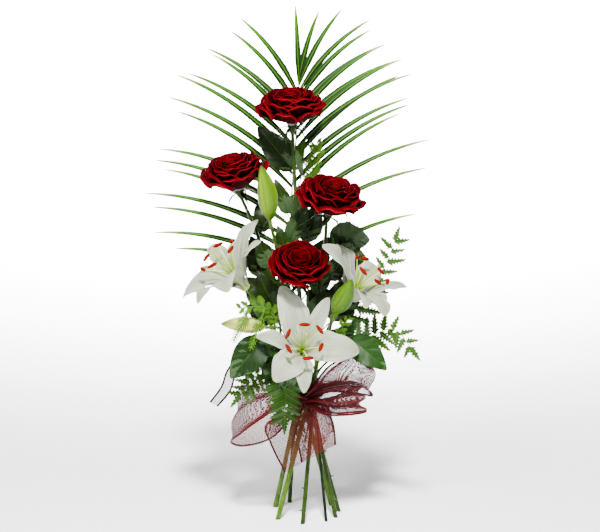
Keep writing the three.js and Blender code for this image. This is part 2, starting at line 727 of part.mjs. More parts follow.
function fern(name, spec) {
  const rib = stemPath(`fern_${name}`, TAIL, spec.via, 8);
  const parts = [limb(rib, (t) => mix(SPRAY_STEM, 0.7, t), 4)];
  const facing = v3(...spec.facing).normalize();
  for (let k = 0; k < spec.pairs; k++) {
    const share = k / spec.pairs;
    for (const side of [-1, 1]) {
      const { point, heading } = along(rib, mix(spec.low, 1, share) + (side > 0 ? 0.03 : 0));
      const across = heading.clone().cross(facing).normalize();
      const way = heading.multiplyScalar(0.55).addScaledVector(across, side).normalize();
      parts.push(pinna(point, way, facing, spec.reach * (1 - 0.5 * share), k === 0 ? 3 : 2));
    }
  }
  const top = along(rib, 0.985);
  parts.push(pinna(top.point, top.heading, facing, spec.reach * 0.7, 2));
  add(`fern_${name}`, fuse(parts), FINISHES.fern_green);
}

// ---------------------------------------------------------------- cedar sprigs

const CEDARS = {
  left: {
    via: [[-18, -8, 240], [-30, -36, 276], [-55, -60, 318], [-92, -78, 322]],
    low: 0.68, pairs: 4, reach: 26,
  },
  right: { via: [[10, -34, 222], [34, -64, 268], [62, -84, 312]], low: 0.62, pairs: 4, reach: 20 },
  tall: { via: [[4, 14, 300], [4, 36, 440], [16, 38, 530]], low: 0.86, pairs: 4, reach: 24 },
};

// A flat spray of scale leaves: slim round-tipped branchlets to both sides of a wiry stem.
function cedar(name, spec) {
  const stem = stemPath(`cedar_${name}`, TAIL, spec.via, 7);
  const parts = [limb(stem, (t) => mix(SPRAY_STEM, 1, t), 4)];
  for (let k = 0; k < spec.pairs; k++) {
    const share = k / spec.pairs;
    for (const side of [-1, 1]) {
      const { point, heading } = along(stem, mix(spec.low, 1, share) + (side > 0 ? 0.02 : 0));
      const across = heading.clone().cross(FRONT).normalize();
      const way = heading.addScaledVector(across, 0.8 * side).normalize();
      const length = spec.reach * (1 - 0.55 * share) * (0.8 + 0.4 * draw(k + (side > 0 ? 30 : 0)));
      parts.push(limb([point, point.clone().addScaledVector(way, length)], (t) => mix(0.6, 1.3, t), 3));
    }
  }
  add(`cedar_${name}`, fuse(parts), FINISHES.cedar_green);
}

// ---------------------------------------------------------------- broad-leaved branches

const BRANCHES = {
  left: {
    via: [[-30, -16, 222], [-48, -44, 244], [-56, -58, 258]],
    leaves: [
      { kind: 'oval', at: 254, base: [-57, -64, 277], tip: [-103, -76, 222], width: 46, facing: [0, -1, 0.2] },
      { kind: 'oval', at: 236, base: [-40, -50, 252], tip: [-56, -66, 224], width: 24, facing: [0, -1, 0.4] },
    ],
  },
  right: {
    via: [[22, -32, 224], [50, -56, 262]],
    leaves: [
      { at: 256, base: [62, -62, 276], tip: [112, -82, 236], width: 42, facing: [0, -1, 0.4], count: 5 },
      { at: 240, base: [44, -52, 270], tip: [74, -60, 300], width: 24, facing: [0, -1, 0.3] },
    ],
  },
};

function branch(name, spec) {
  const stem = stemPath(`foliage_${name}`, TAIL, spec.via, 5);
  const parts = [limb(stem, (t) => mix(BRANCH_STEM, 1.2, t), 5)];
  for (const one of spec.leaves) parts.push(...leaf(stem, one));
  add(`foliage_${name}`, fuse(parts), FINISHES.leaf_green);
}

// ---------------------------------------------------------------- tie and ribbon

const TWINE = 1.4; // thickness of the twine
const TWINE_TURNS = 3;
const TIE_SIDES = 16;

function tie() {
  const pitch = TIE_BAND / TWINE_TURNS;
  const bottom = TIE_HEIGHT - TIE_BAND / 2;
  const profile = [[TIE_INSIDE, bottom]];
  for (let k = 0; k < TWINE_TURNS; k++) {
    profile.push([TIE_INSIDE + TWINE, bottom + (k + 0.5) * pitch]);
    if (k < TWINE_TURNS - 1) profile.push([TIE_INSIDE + TWINE / 2, bottom + (k + 1) * pitch]);
  }
  profile.push([TIE_INSIDE, bottom + TIE_BAND], [TIE_INSIDE, bottom]);
  add('tie_twine', solid(lathe(profile, TIE_SIDES)), FINISHES.twine);
}

// Each run of the ribbon: points of its middle line, half its width at each of them as a vector,
// and how far its edges fall back behind its middle.
const RIBBON_RUNS = {
  loop_left: {
    line: [
      [-2, -25, 176], [-42, -42, 166], [-82, -38, 156], [-99, -12, 152],
      [-84, 16, 156], [-42, 22, 168], [-18.6, 7, 172],
    ],
    half: [[0, 0, 5], [0, 2, 38], [3, 0, 44], [8, 0, 42], [4, 0, 40], [0, 0, 22], [0, 0, 4]],
    runs: 8,
  },
  loop_right: {
    line: [
      [2, -25, 180], [32, -34, 206], [70, -30, 212], [94, -10, 202],
      [80, 14, 206], [44, 22, 194], [18.6, 7, 174],
    ],
    half: [[0, 0, 5], [0, 0, 18], [-2, 0, 27], [-6, 0, 24], [-4, 0, 25], [0, 0, 15], [0, 0, 4]],
    runs: 8,
  },
  loop_low: {
    line: [
      [4, -26, 174], [30, -46, 180], [58, -52, 184], [80, -44, 182],
      [66, -30, 176], [38, -27, 170], [15.5, -12.5, 168],
    ],
    half: [[0, 0, 5], [0, 0, 18], [0, 0, 21], [-2, 0, 18], [0, 0, 17], [0, 0, 11], [0, 0, 4]],
    runs: 8,
  },
  tail_front: {
    line: [[0, -26, 170], [-9, -42, 150], [-3, -50, 122], [7, -52, 86]],
    half: [[6, 0, 0], [44, 0, 5], [45, 0, 5], [35, 0, 11]],
    runs: 6,
    back: 12,
  },
  tail_back: {
    line: [[4, 19.4, 172], [10, 36, 150], [14, 46, 110], [20, 52, 62]],
    half: [[5, 0, 0], [22, 0, 3], [26, 0, 4], [24, 0, 8]],
    runs: 5,
  },
  tail_left: {
    line: [
      [-13.6, 14, 176], [-50, 24, 212], [-88, 20, 230],
      [-104, 17, 206], [-113, 15, 180], [-130, 12, 158],
    ],
    half: [[1, 0, 4], [1, 0, 6], [3, 0, 6], [6, 0, 2], [6, 0, 3], [5, 0, 6]],
    runs: 8,
  },
};

// A ribbon's stretch: its width lies along the half-width vectors, smoothed along the line.
function ribbonSurface({ line, half, back = 0 }) {
  const middle = smooth(line.map((p) => v3(...p)));
  const lie = new THREE.CatmullRomCurve3(half.map((p) => v3(...p)), false, 'catmullrom', 0.5);
  return (u, v) => middle.getPoint(u).addScaledVector(lie.getPoint(u), v).add(v3(0, back * v * v * u, 0));
}

function ribbon() {
  const inside = TIE_INSIDE + TWINE + FIT;
  const wrap = [[inside, -8], [inside + 1.6, -7], [inside + 1.6, 7], [inside, 8], [inside, -8]];
  const band = lathe(wrap, TIE_SIDES).translate(0, 0, TIE_HEIGHT);
  const knot = new THREE.SphereGeometry(1, 7, 5).scale(11, 5.5, 11).translate(1, -inside - 6, TIE_HEIGHT + 4);
  const parts = [solid(band), solid(knot)];
  for (const run of Object.values(RIBBON_RUNS)) {
    parts.push(blade(ribbonSurface(run), run.runs, run.back ? 2 : 1, RIBBON));
  }
  add('ribbon_bow', fuse(parts), FINISHES.ribbon_burgundy);
}

// ---------------------------------------------------------------- the bouquet

Object.entries(ROSES).forEach(([name, spec], i) => rose(name, spec, 10 * i));
Object.entries(LILIES).forEach(([name, spec]) => lily(name, spec));
Object.entries(BUDS).forEach(([name, spec]) => bud(name, spec));
palm();
Object.entries(FERNS).forEach(([name, spec]) => fern(name, spec));
Object.entries(CEDARS).forEach(([name, spec]) => cedar(name, spec));
Object.entries(BRANCHES).forEach(([name, spec]) => branch(name, spec));
tie();
ribbon();

// The origin is under the middle of the whole bunch, on the surface that it stands on.
const extent = new THREE.Box3().setFromObject(bouquet, true);
const middle = extent.getCenter(v3(0, 0, 0));
bouquet.position.set(-middle.x, -middle.y, -extent.min.z);

export default bouquet;
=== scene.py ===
# %% [markdown]
# # Mixed flower bouquet
#
# The visual model of a hand-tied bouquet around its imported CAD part: velvety roses, satin lilies,
# buds, a palm frond, ferns, cedar sprigs, broad leaves and a mesh ribbon bow.
#
# All shapes are worked out in millimetres on the bunch's own axis, which runs up through the tie,
# and are moved into the frame, in metres, as they are made.

# %%
import math
from collections import namedtuple

import bmesh
import bpy
from mathutils import Matrix, Quaternion, Vector


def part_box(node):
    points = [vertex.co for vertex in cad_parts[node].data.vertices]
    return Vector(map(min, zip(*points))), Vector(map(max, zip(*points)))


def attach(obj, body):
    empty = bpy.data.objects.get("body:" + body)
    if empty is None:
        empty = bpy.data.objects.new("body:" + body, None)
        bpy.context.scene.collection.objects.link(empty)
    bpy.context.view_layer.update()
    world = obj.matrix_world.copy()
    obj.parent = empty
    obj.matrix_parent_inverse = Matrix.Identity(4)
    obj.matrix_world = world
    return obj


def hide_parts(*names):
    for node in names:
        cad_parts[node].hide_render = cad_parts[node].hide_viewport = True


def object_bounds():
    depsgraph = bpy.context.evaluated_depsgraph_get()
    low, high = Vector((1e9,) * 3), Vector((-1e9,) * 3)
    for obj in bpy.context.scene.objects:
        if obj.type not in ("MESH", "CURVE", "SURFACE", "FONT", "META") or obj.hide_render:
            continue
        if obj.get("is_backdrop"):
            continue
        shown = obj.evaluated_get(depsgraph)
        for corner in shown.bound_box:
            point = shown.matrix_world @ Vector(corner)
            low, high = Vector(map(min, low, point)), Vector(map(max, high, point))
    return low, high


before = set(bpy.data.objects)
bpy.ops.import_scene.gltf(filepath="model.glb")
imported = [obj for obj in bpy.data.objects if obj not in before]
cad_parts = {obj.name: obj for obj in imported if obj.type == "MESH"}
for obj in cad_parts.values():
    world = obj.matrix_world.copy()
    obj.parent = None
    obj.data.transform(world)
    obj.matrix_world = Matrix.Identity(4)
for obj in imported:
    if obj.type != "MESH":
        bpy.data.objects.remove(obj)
cad_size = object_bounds()
print("nodes to dress:", len(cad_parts))

MM = 0.001
tie_low, tie_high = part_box("tie_twine")
AXIS = Vector(((tie_low.x + tie_high.x) / 2, (tie_low.y + tie_high.y) / 2, 0))
print("bunch's axis in the frame, mm:", [round(x / MM, 2) for x in AXIS])

# %% [markdown]
# ## The same driving dimensions as the solids
#
# A florist sets a spiral bunch out from few sizes: the height of the tie, how tight it is, and how
# far the cut ends spread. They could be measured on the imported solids, but the same named sizes give
# the same curves, so every stem here runs where its solid does.

# %%
TIE_HEIGHT = 171
TIE_BAND = 12
TIE_INSIDE = 16.6
FOOT_CIRCLE = 50
SHOULDER = 206  # every stem is straight up to here
TAIL = 112  # the sprays' short stems end here
FIT = 0.3  # the gap between pieces that touch

ROSE_STEM = 3.1
LILY_STEM = 3.6
PALM_STEM = 2.3
BRANCH_STEM = 1.7
SPRAY_STEM = 1.4
PEDICEL = 1.9

# Thicknesses of the visual model's blades.
PETAL = 0.35
TEPAL = 0.5
LEAF = 0.35
PINNA = 0.25

FRONT = Vector((0, -1, 0))
UP = Vector((0, 0, 1))
SIDES = (-1, 1)
print("blades are", PINNA, "to", TEPAL, "mm thick")

# %% [markdown]
# ## Numbers and curves
#
# Stems, petals and ribbon are smooth bends with no straight part. Blender's curve objects could draw
# them, but a plain function from 0 to 1 can also be asked for a point, a height or a heading on the
# way, and that is how a leaf finds its stem.

# %%
def mix(a, b, t):
    return a + (b - a) * t


def draw(n):
    """A repeatable draw from 0 to 1."""
    s = math.sin(n * 12.9898 + 4.1414) * 43758.5453
    return s - math.floor(s)


def smoothstep(low, high, x):
    t = min(1, max(0, (x - low) / (high - low)))
    return t * t * (3 - 2 * t)


def keyed(keys, t):
    """The value at t between keys [t, value], eased from each to the next."""
    for (t0, a), (t1, b) in zip(keys, keys[1:]):
        if t <= t1:
            return mix(a, b, smoothstep(t0, t1, t))
    return keys[-1][1]


def cubic(p, t):
    """The point at t of the cubic curve that four [radius, height] pairs pull into shape."""
    k = ((1 - t) ** 3, 3 * t * (1 - t) ** 2, 3 * t * t * (1 - t), t**3)
    return [sum(k[i] * p[i][axis] for i in range(4)) for axis in range(2)]


def smooth(points, centripetal=True):
    """A smooth curve through points, as a function of 0 to 1."""
    pts = [Vector(p) for p in points]
    pts = [2 * pts[0] - pts[1], *pts, 2 * pts[-1] - pts[-2]]

    def at(t):
        place = t * (len(pts) - 3)
        k = min(int(place), len(pts) - 4)
        w = place - k
        p0, p1, p2, p3 = pts[k : k + 4]
        if centripetal:
            d0, d1, d2 = ((b - a).length ** 0.5 for a, b in ((p0, p1), (p1, p2), (p2, p3)))
            m1 = ((p1 - p0) / d0 - (p2 - p0) / (d0 + d1) + (p2 - p1) / d1) * d1
            m2 = ((p2 - p1) / d1 - (p3 - p1) / (d1 + d2) + (p3 - p2) / d2) * d1
        else:
            m1, m2 = (p2 - p0) / 2, (p3 - p1) / 2
        bend = -3 * p1 + 3 * p2 - 2 * m1 - m2
        return p1 + m1 * w + bend * w**2 + (2 * p1 - 2 * p2 + m1 + m2) * w**3

    return at


def samples(curve, count):
    return [curve(k / count) for k in range(count + 1)]


def along(path, share):
    """The place and the heading at a share of a path's length."""
    lengths = [(b - a).length for a, b in zip(path, path[1:])]
    left = share * sum(lengths)
    k = 0
    while k < len(lengths) - 1 and left > lengths[k]:
        left -= lengths[k]
        k += 1
    heading = (path[k + 1] - path[k]).normalized()
    return path[k] + heading * left, heading


def at_height(path, height):
    """The first place where a path reaches a height."""
    k = next(i for i, point in enumerate(path) if point.z > height)
    below, above = path[k - 1], path[k]
    return below.lerp(above, (height - below.z) / (above.z - below.z))


def taper(foot, top):
    """A girth that changes evenly from one end of a limb to the other."""
    return lambda t: mix(foot, top, t)


def turn_of(axis, spin):
    """The turn that lays +Z along an axis, after a spin in degrees round it."""
    return UP.rotation_difference(Vector(axis)) @ Quaternion(UP, math.radians(spin))

# %% [markdown]
# ## Blades and tubes
#
# Petals and leaves are thin sheets, and stems are round limbs. Both could be sculpted one by one, but
# they repeat by the hundred, so two helpers make nearly everything: a blade is a grid laid on a
# surface and made solid, and a tube is a grid rolled round a path. Both keep the grid's UVs: U
# across or round, V along. The attribute tint tells a piece's parts apart, and under is 1 on a
# blade's lower face.

# %%
WELD = 0.001  # points of a seam nearer than this, in millimetres, become one


def blank():
    """An empty mesh with the layers that the finishes read."""
    bm = bmesh.new()
    bm.loops.layers.uv.new("UVMap")
    bm.verts.layers.float.new("tint")
    bm.verts.layers.float.new("under")
    return bm


def pour(part, bm, tint):
    """Adds a small mesh to a larger one, from millimetres on the axis to the frame."""
    layer = part.verts.layers.float["tint"]
    for vert in part.verts:
        vert.co = vert.co * MM + AXIS
        vert[layer] = tint
    scrap = bpy.data.meshes.new("scrap")
    part.to_mesh(scrap)
    part.free()
    bm.from_mesh(scrap)
    bpy.data.meshes.remove(scrap)


def blade(bm, surface, grid, thickness, tint=0.5):
    """A closed thin blade on surface(u, v), u from 0 to 1 along it and v from -1 to 1 across it. grid
    is its number of rows and columns."""
    rows, columns = grid
    part = blank()
    bmesh.ops.create_grid(part, x_segments=columns, y_segments=rows, size=1, calc_uvs=True)
    for vert in part.verts:
        vert.co = surface((vert.co.y + 1) / 2, vert.co.x)
    count = len(part.verts)
    bmesh.ops.solidify(part, geom=part.faces[:], thickness=thickness)
    part.verts.ensure_lookup_table()
    under = part.verts.layers.float["under"]
    for k in range(count, len(part.verts)):
        part.verts[k][under] = 1
    pour(part, bm, tint)


def tube(bm, path, girth, sides, tint=0.5, lobe=None, level=False):
    """A closed round limb along a path. girth(t) is its radius at a share of the length, lobe(angle, t)
    swells it in ribs, and level cuts it flat at the floor."""
    last = len(path) - 1
    lengths = [(b - a).length for a, b in zip(path, path[1:])]
    total = sum(lengths)
    heading, turn, covered, rings = UP, Quaternion(), 0, []
    for k, point in enumerate(path):
        before = (path[max(k, 1)] - path[max(k, 1) - 1]).normalized()
        after = (path[min(k, last - 1) + 1] - path[min(k, last - 1)]).normalized()
        following = (before + after).normalized()
        turn = heading.rotation_difference(following) @ turn
        heading = following
        rings.append((point, turn.copy(), covered / total))
        covered += lengths[min(k, last - 1)]
    part = blank()
    bmesh.ops.create_grid(part, x_segments=sides, y_segments=last, size=1, calc_uvs=True)
    for vert in part.verts:
        point, turn, t = rings[round((vert.co.y + 1) / 2 * last)]
        angle = math.pi * vert.co.x
        reach = girth(t) * (lobe(angle, t) if lobe else 1)
        vert.co = point + turn @ Vector((reach * math.cos(angle), reach * math.sin(angle), 0))
    bmesh.ops.remove_doubles(part, verts=part.verts[:], dist=WELD)
    if level:
        geom = part.verts[:] + part.edges[:] + part.faces[:]
        down = (0, 0, -1)
        bmesh.ops.bisect_plane(part, geom=geom, plane_co=(0, 0, 0), plane_no=down, clear_outer=True)
    bmesh.ops.holes_fill(part, edges=part.edges[:], sides=0)
    bmesh.ops.recalc_face_normals(part, faces=part.faces[:])
    pour(part, bm, tint)

# %% [markdown]
# ## Balls and cones
#
# Stigmas, anthers and thorns are too small for a surface of their own, so each is one of bmesh's
# ready shapes, and a matrix stretches it and lays it in place.

# %%
def ball(bm, centre, size, turn=None, tint=0.5, segments=12):
    """A stretched ball. size is its three radii."""
    part = blank()
    lie = (turn or Quaternion()).to_matrix().to_4x4()
    shape = Matrix.Translation(centre) @ lie @ Matrix.Diagonal((*size, 1))
    rings = segments // 2 + 2
    bmesh.ops.create_uvsphere(part, u_segments=segments, v_segments=rings, radius=1, matrix=shape)
    pour(part, bm, tint)


def cone(bm, foot, tip, girth, tint=0.5):
    """A thorn from foot to tip."""
    part = blank()
    run = tip - foot
    shape = Matrix.Translation((foot + tip) / 2) @ UP.rotation_difference(run).to_matrix().to_4x4()
    bmesh.ops.create_cone(
        part, segments=8, radius1=girth, radius2=0.1, depth=run.length, cap_ends=True, matrix=shape
    )
    pour(part, bm, tint)

# %% [markdown]
# ## A finished piece
#
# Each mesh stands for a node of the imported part, hides that node and moves with the bunch's one
# body. Rounded faces are shaded smooth, and only the sharp rims of blades keep an edge.

# %%
CREASE = math.radians(48)  # edges sharper than this are shaded as edges


def piece(name, bm, material, node, slot):
    """Makes the object that stands for a CAD node, and lets it ride on the bunch's one body."""
    bmesh.ops.recalc_face_normals(bm, faces=bm.faces[:])
    for edge in bm.edges:
        edge.smooth = edge.calc_face_angle(0) < CREASE
    mesh = bpy.data.meshes.new(name)
    bm.to_mesh(mesh)
    bm.free()
    mesh.polygons.foreach_set("use_smooth", [True] * len(mesh.polygons))
    mesh.materials.append(material)
    obj = bpy.data.objects.new(name, mesh)
    bpy.context.scene.collection.objects.link(obj)
    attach(obj, "root")
    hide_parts(node)
    return obj

# %% [markdown]
# ## Finishes
#
# A plant's colour is never even: it runs lengthwise with the veins and fades towards a root or an
# edge. A picture would have to be painted for every petal, so each finish is a small node tree on
# the piece's own UVs, and one tree dresses every copy. Colours are hex sRGB, and one function adds
# every node.

# %%
def srgb(hexed):
    parts = [int(hexed[i : i + 2], 16) / 255 for i in (1, 3, 5)]
    return (*[c / 12.92 if c <= 0.04045 else ((c + 0.055) / 1.055) ** 2.4 for c in parts], 1)


def add(tree, kind, inputs=(), out=0, stops=(), **settings):
    """Adds a shader node and returns one of its outputs. inputs gives its sockets, in order or by
    name, a number, a hex colour or the output that feeds them, and stops are a ramp's colours."""
    node = tree.nodes.new("ShaderNode" + kind)
    for key, value in settings.items():
        setattr(node, key, value)
    if stops:
        elements = node.color_ramp.elements
        while len(elements) < len(stops):
            elements.new(1)
        for element, (place, hexed) in zip(elements, stops):
            element.position = place
            element.color = srgb(hexed)
    sockets = inputs if isinstance(inputs, dict) else dict(enumerate(inputs))
    for key, value in sockets.items():
        if isinstance(value, bpy.types.NodeSocket):
            tree.links.new(value, node.inputs[key])
        else:
            node.inputs[key].default_value = srgb(value) if isinstance(value, str) else value
    return node.outputs[out] if len(node.outputs) else None


# A Mix node's colours are its inputs 6 and 7 and its output 2.
MIX = {"out": 2, "data_type": "RGBA"}
TINT = {"out": "Fac", "attribute_name": "tint"}
UNDER = {"out": "Fac", "attribute_name": "under"}
WAXY = 0.13  # specular level of leaves and buds, which shine little


def start(name):
    """A new material, with its node tree, its UV socket and U and V apart."""
    material = bpy.data.materials.new(name)
    material.use_nodes = True
    tree = material.node_tree
    tree.nodes.clear()
    uv = add(tree, "UVMap", uv_map="UVMap")
    u = add(tree, "SeparateXYZ", [uv])
    return material, tree, uv, u, u.node.outputs["Y"]


def finish_surface(tree, colour, rough, bump=None, depth=0.0002, specular=WAXY, more=None):
    """Ends a finish with its shader. depth is how deep the bump is, in metres."""
    inputs = {"Base Color": colour, "Roughness": rough, "Specular IOR Level": specular, **(more or {})}
    if bump is not None:
        inputs["Normal"] = add(tree, "Bump", {"Height": bump, "Distance": depth, "Strength": 1.0})
    surface = add(tree, "BsdfPrincipled", inputs)
    add(tree, "OutputMaterial", {"Surface": surface})

# %% [markdown]
# ## Patterns that several finishes share
#
# Veins and fibres run along a petal or a leaf, and its midrib is a line down the middle of U. Noise
# that is squeezed across the piece gives the first, and the distance from U's middle the second.

# %%
def streaks(tree, place, squeeze, scale=1.0, detail=2.0):
    """Noise that a mapping squeezes, so that it runs along the axis that is squeezed least."""
    drawn = add(tree, "Mapping", {"Vector": place, "Scale": squeeze})
    return add(tree, "TexNoise", {"Vector": drawn, "Scale": scale, "Detail": detail})


def tinted(tree, colour, towards, where, share):
    """A colour that turns towards another one by a share of the pattern where."""
    factor = add(tree, "Math", [where, share], operation="MULTIPLY")
    return add(tree, "Mix", {0: factor, 6: colour, 7: towards}, **MIX)


def off_half(tree, value):
    """How far a value is from one half."""
    over = add(tree, "Math", [value, 0.5], operation="SUBTRACT")
    return add(tree, "Math", [over], operation="ABSOLUTE")


def middle_of(tree, u, width):
    """1 on the midrib, falling to 0 at this share of the width to both sides."""
    share = add(tree, "Math", [off_half(tree, u), width], operation="DIVIDE")
    inside = add(tree, "Math", [1.0, share], operation="SUBTRACT")
    return add(tree, "Math", [inside, 0.0], operation="MAXIMUM")

# %% [markdown]
# ## The spiral of stems
#
# In a hand-tied bunch every stem is laid on the ones before it on the same slant, so the bunch has a
# waist at the tie and its cut ends spread like a tripod's feet. Placing each stem by hand would soon
# make two of them cross. So each gets its share of the tie's circle by its own girth, all of them
# take the same slant, and only the bend above the shoulder differs.

# %%
RING = [
    ("palm", PALM_STEM),
    ("rose_top", ROSE_STEM),
    ("rose_left", ROSE_STEM),
    ("lily_left", LILY_STEM),
    ("fern_left", SPRAY_STEM),
    ("foliage_left", BRANCH_STEM),
    ("fern_front", SPRAY_STEM),
    ("rose_front", ROSE_STEM),
    ("lily_front", LILY_STEM),
    ("cedar_right", SPRAY_STEM),
    ("foliage_right", BRANCH_STEM),
    ("lily_right", LILY_STEM),
    ("fern_low_right", SPRAY_STEM),
    ("rose_right", ROSE_STEM),
    ("fern_high_right", SPRAY_STEM),
]
RING_START = 12  # degrees from +X to the first stem
NESTED = [("cedar_left", "lily_left"), ("cedar_tall", "rose_top")]
SLANT = math.sqrt(FOOT_CIRCLE**2 - TIE_INSIDE**2) / TIE_HEIGHT


def seat_stems():
    """The angle, radius and girth with which each stem crosses the tie."""

    def seat(girth):
        return TIE_INSIDE - FIT - girth

    def share(girth):
        return 2 * math.asin(girth / seat(girth))

    spare = (2 * math.pi - sum(share(girth) for _, girth in RING)) / len(RING)
    crossing, angle = {}, math.radians(RING_START)
    for name, girth in RING:
        angle += share(girth) / 2
        crossing[name] = (angle, seat(girth), girth)
        angle += share(girth) / 2 + spare
    for name, host in NESTED:
        beside, radius, girth = crossing[host]
        crossing[name] = (beside, radius - girth - FIT - SPRAY_STEM, SPRAY_STEM)
    return crossing


CROSSING = seat_stems()
print("stems:", len(CROSSING), "leaning", round(math.degrees(math.atan(SLANT)), 1), "degrees")

# %%
STRAIGHT_RUNS, BENT_RUNS = 16, 44
FLOOR_CUT = -8  # stems start this far under the floor and are cut level
KNOTS = 7


def on_stem(name, height):
    """A point of a stem's straight part."""
    angle, radius, _ = CROSSING[name]
    run = SLANT * (height - TIE_HEIGHT)
    c, s = math.cos(angle), math.sin(angle)
    return Vector((radius * c - run * s, radius * s + run * c, height))


def stem_path(name, lowest, points):
    """Straight from its cut end to the shoulder, in short steps, and then bent through the points."""
    bend = smooth([on_stem(name, TIE_HEIGHT), on_stem(name, SHOULDER), *points])
    shoulder = 1 / (len(points) + 1)
    foot, neck = on_stem(name, lowest), bend(shoulder)
    path = [foot.lerp(neck, k / STRAIGHT_RUNS) for k in range(STRAIGHT_RUNS)]
    return path + [bend(mix(shoulder, 1, k / BENT_RUNS)) for k in range(BENT_RUNS + 1)]


def knotty(girth_foot, girth_top, seed):
    """A stem's girth with the small swellings where leaves were taken off."""
    places = [(k + 0.6 * draw(seed + k)) / KNOTS for k in range(KNOTS)]

    def girth(t):
        swell = sum(math.exp(-(((t - p) / 0.006) ** 2)) for p in places)
        return mix(girth_foot, girth_top, t) * (1 + 0.14 * min(swell, 1))

    return girth

# %% [markdown]
# ## Leaf finish
#
# A leaf is a waxy green skin over a net of veins. The veins could be carved into the blade, but they
# are finer than its faces, so they are drawn: a pale midrib, side veins that lean forwards from it,
# and a bump that puffs the skin between them. Roses, lilies, ferns and broad leaves all take this
# finish, each with its own greens, number of veins and gloss.

# %%
STALK = 0.2  # tint of stems and stalks in a leaf's material


def veined_leaf(name, dark, light, vein, pitch, slope, rough):
    """pitch is the number of side veins, and slope how far forwards they run. Parts with tint under
    0.3 are stems and stalks, and a tint up to 1 is a lighter leaf."""
    material, tree, uv, u, v = start(name)
    tint = add(tree, "Attribute", **TINT)
    back = add(tree, "Math", [off_half(tree, u), slope], operation="MULTIPLY")
    run = add(tree, "Math", [v, back], operation="SUBTRACT")
    run = add(tree, "Math", [run, pitch], operation="MULTIPLY")
    uneven = add(tree, "TexNoise", {"Vector": uv, "Scale": 9.0, "Detail": 3.0})
    run = add(tree, "Math", [uneven, 0.5, run], operation="MULTIPLY_ADD")
    saw = add(tree, "Math", [run], operation="FRACT")
    near = add(tree, "Math", [off_half(tree, saw), 9.0], operation="MULTIPLY")
    side = add(tree, "Math", [1.0, near], operation="SUBTRACT")
    side = add(tree, "Math", [side, 0.0], operation="MAXIMUM")
    side = add(tree, "Math", [side, 0.5], operation="MULTIPLY")
    rib = add(tree, "Math", [middle_of(tree, u, 0.05), 0.8], operation="POWER")
    lines = add(tree, "Math", [rib, side], operation="MAXIMUM")
    broad = add(tree, "TexNoise", {"Vector": uv, "Scale": 2.5, "Detail": 2.0})
    mood = add(tree, "Math", [tint, 0.5, -0.1], operation="MULTIPLY_ADD")
    mood = add(tree, "Math", [broad, 0.35, mood], operation="MULTIPLY_ADD")
    green = add(tree, "Mix", {0: mood, 6: dark, 7: light}, **MIX)
    green = tinted(tree, green, "#48623c", add(tree, "Attribute", **UNDER), 0.4)
    green = tinted(tree, green, vein, lines, 0.28)
    place = add(tree, "TexCoord", out="Object")
    mottle = add(tree, "TexNoise", {"Vector": place, "Scale": 70.0, "Detail": 3.0})
    stalk = add(tree, "Mix", {0: mottle, 6: dark, 7: vein}, **MIX)
    is_stalk = add(tree, "Math", [tint, 0.3], operation="LESS_THAN")
    colour = add(tree, "Mix", {0: is_stalk, 6: green, 7: stalk}, **MIX)
    net = add(tree, "TexNoise", {"Vector": uv, "Scale": 30.0, "Detail": 4.0})
    net = add(tree, "Math", [net, 0.2], operation="MULTIPLY")
    puff = add(tree, "Math", [net, lines], operation="SUBTRACT")
    finish_surface(tree, colour, rough, puff, 0.0003)
    return material


ROSE_GREEN = veined_leaf("rose leaf waxy", "#050b00", "#162b00", "#294307", 9, 0.5, 0.38)
LILY_GREEN = veined_leaf("lily leaf smooth", "#0e2400", "#305303", "#4e6e0f", 3, 1.6, 0.35)
BROAD_GREEN = veined_leaf("broad leaf glossy", "#030e00", "#153800", "#254b07", 8, 0.55, 0.45)
FERN_GREEN = veined_leaf("leatherleaf fern", "#0a1e00", "#2c5400", "#447000", 4, 0.9, 0.5)
print("leaf greens:", [green.name for green in (ROSE_GREEN, LILY_GREEN, BROAD_GREEN, FERN_GREEN)])

# %% [markdown]
# ## Leaves
#
# A real leaf is never flat: it folds along the midrib, arches from its stalk, waves at its edge and
# curls at its tip, and a rose's is toothed. One flat cut-out for all would show at once from the
# side, so a leaf here is a surface with those bends in it, laid between its base and its tip.

# %%
BROAD = 36  # leaves wider than this are folded along the midrib
TOOTH_PITCH, TOOTH_DEPTH = 3.1, 0.13  # the depth is a share of the half width
ROWS_PER_TOOTH, TOOTHED_COLUMNS = 3, 12
SMOOTH_GRID = (36, 10)

# at is the height at which its stalk leaves the stem, and facing the way that its face looks.
Leaf = namedtuple("Leaf", "at base tip width facing kind arch", defaults=("toothed", 6))


def ovate(u):
    return 0.06 + 0.94 * math.sin(math.pi * u**0.72) ** 0.85 if 0 < u < 1 else 0.06


def lance(u):
    return 0.07 + 0.93 * max(0, math.sin(math.pi * u**0.8))


OUTLINES = {"toothed": ovate, "oval": ovate, "lance": lance}


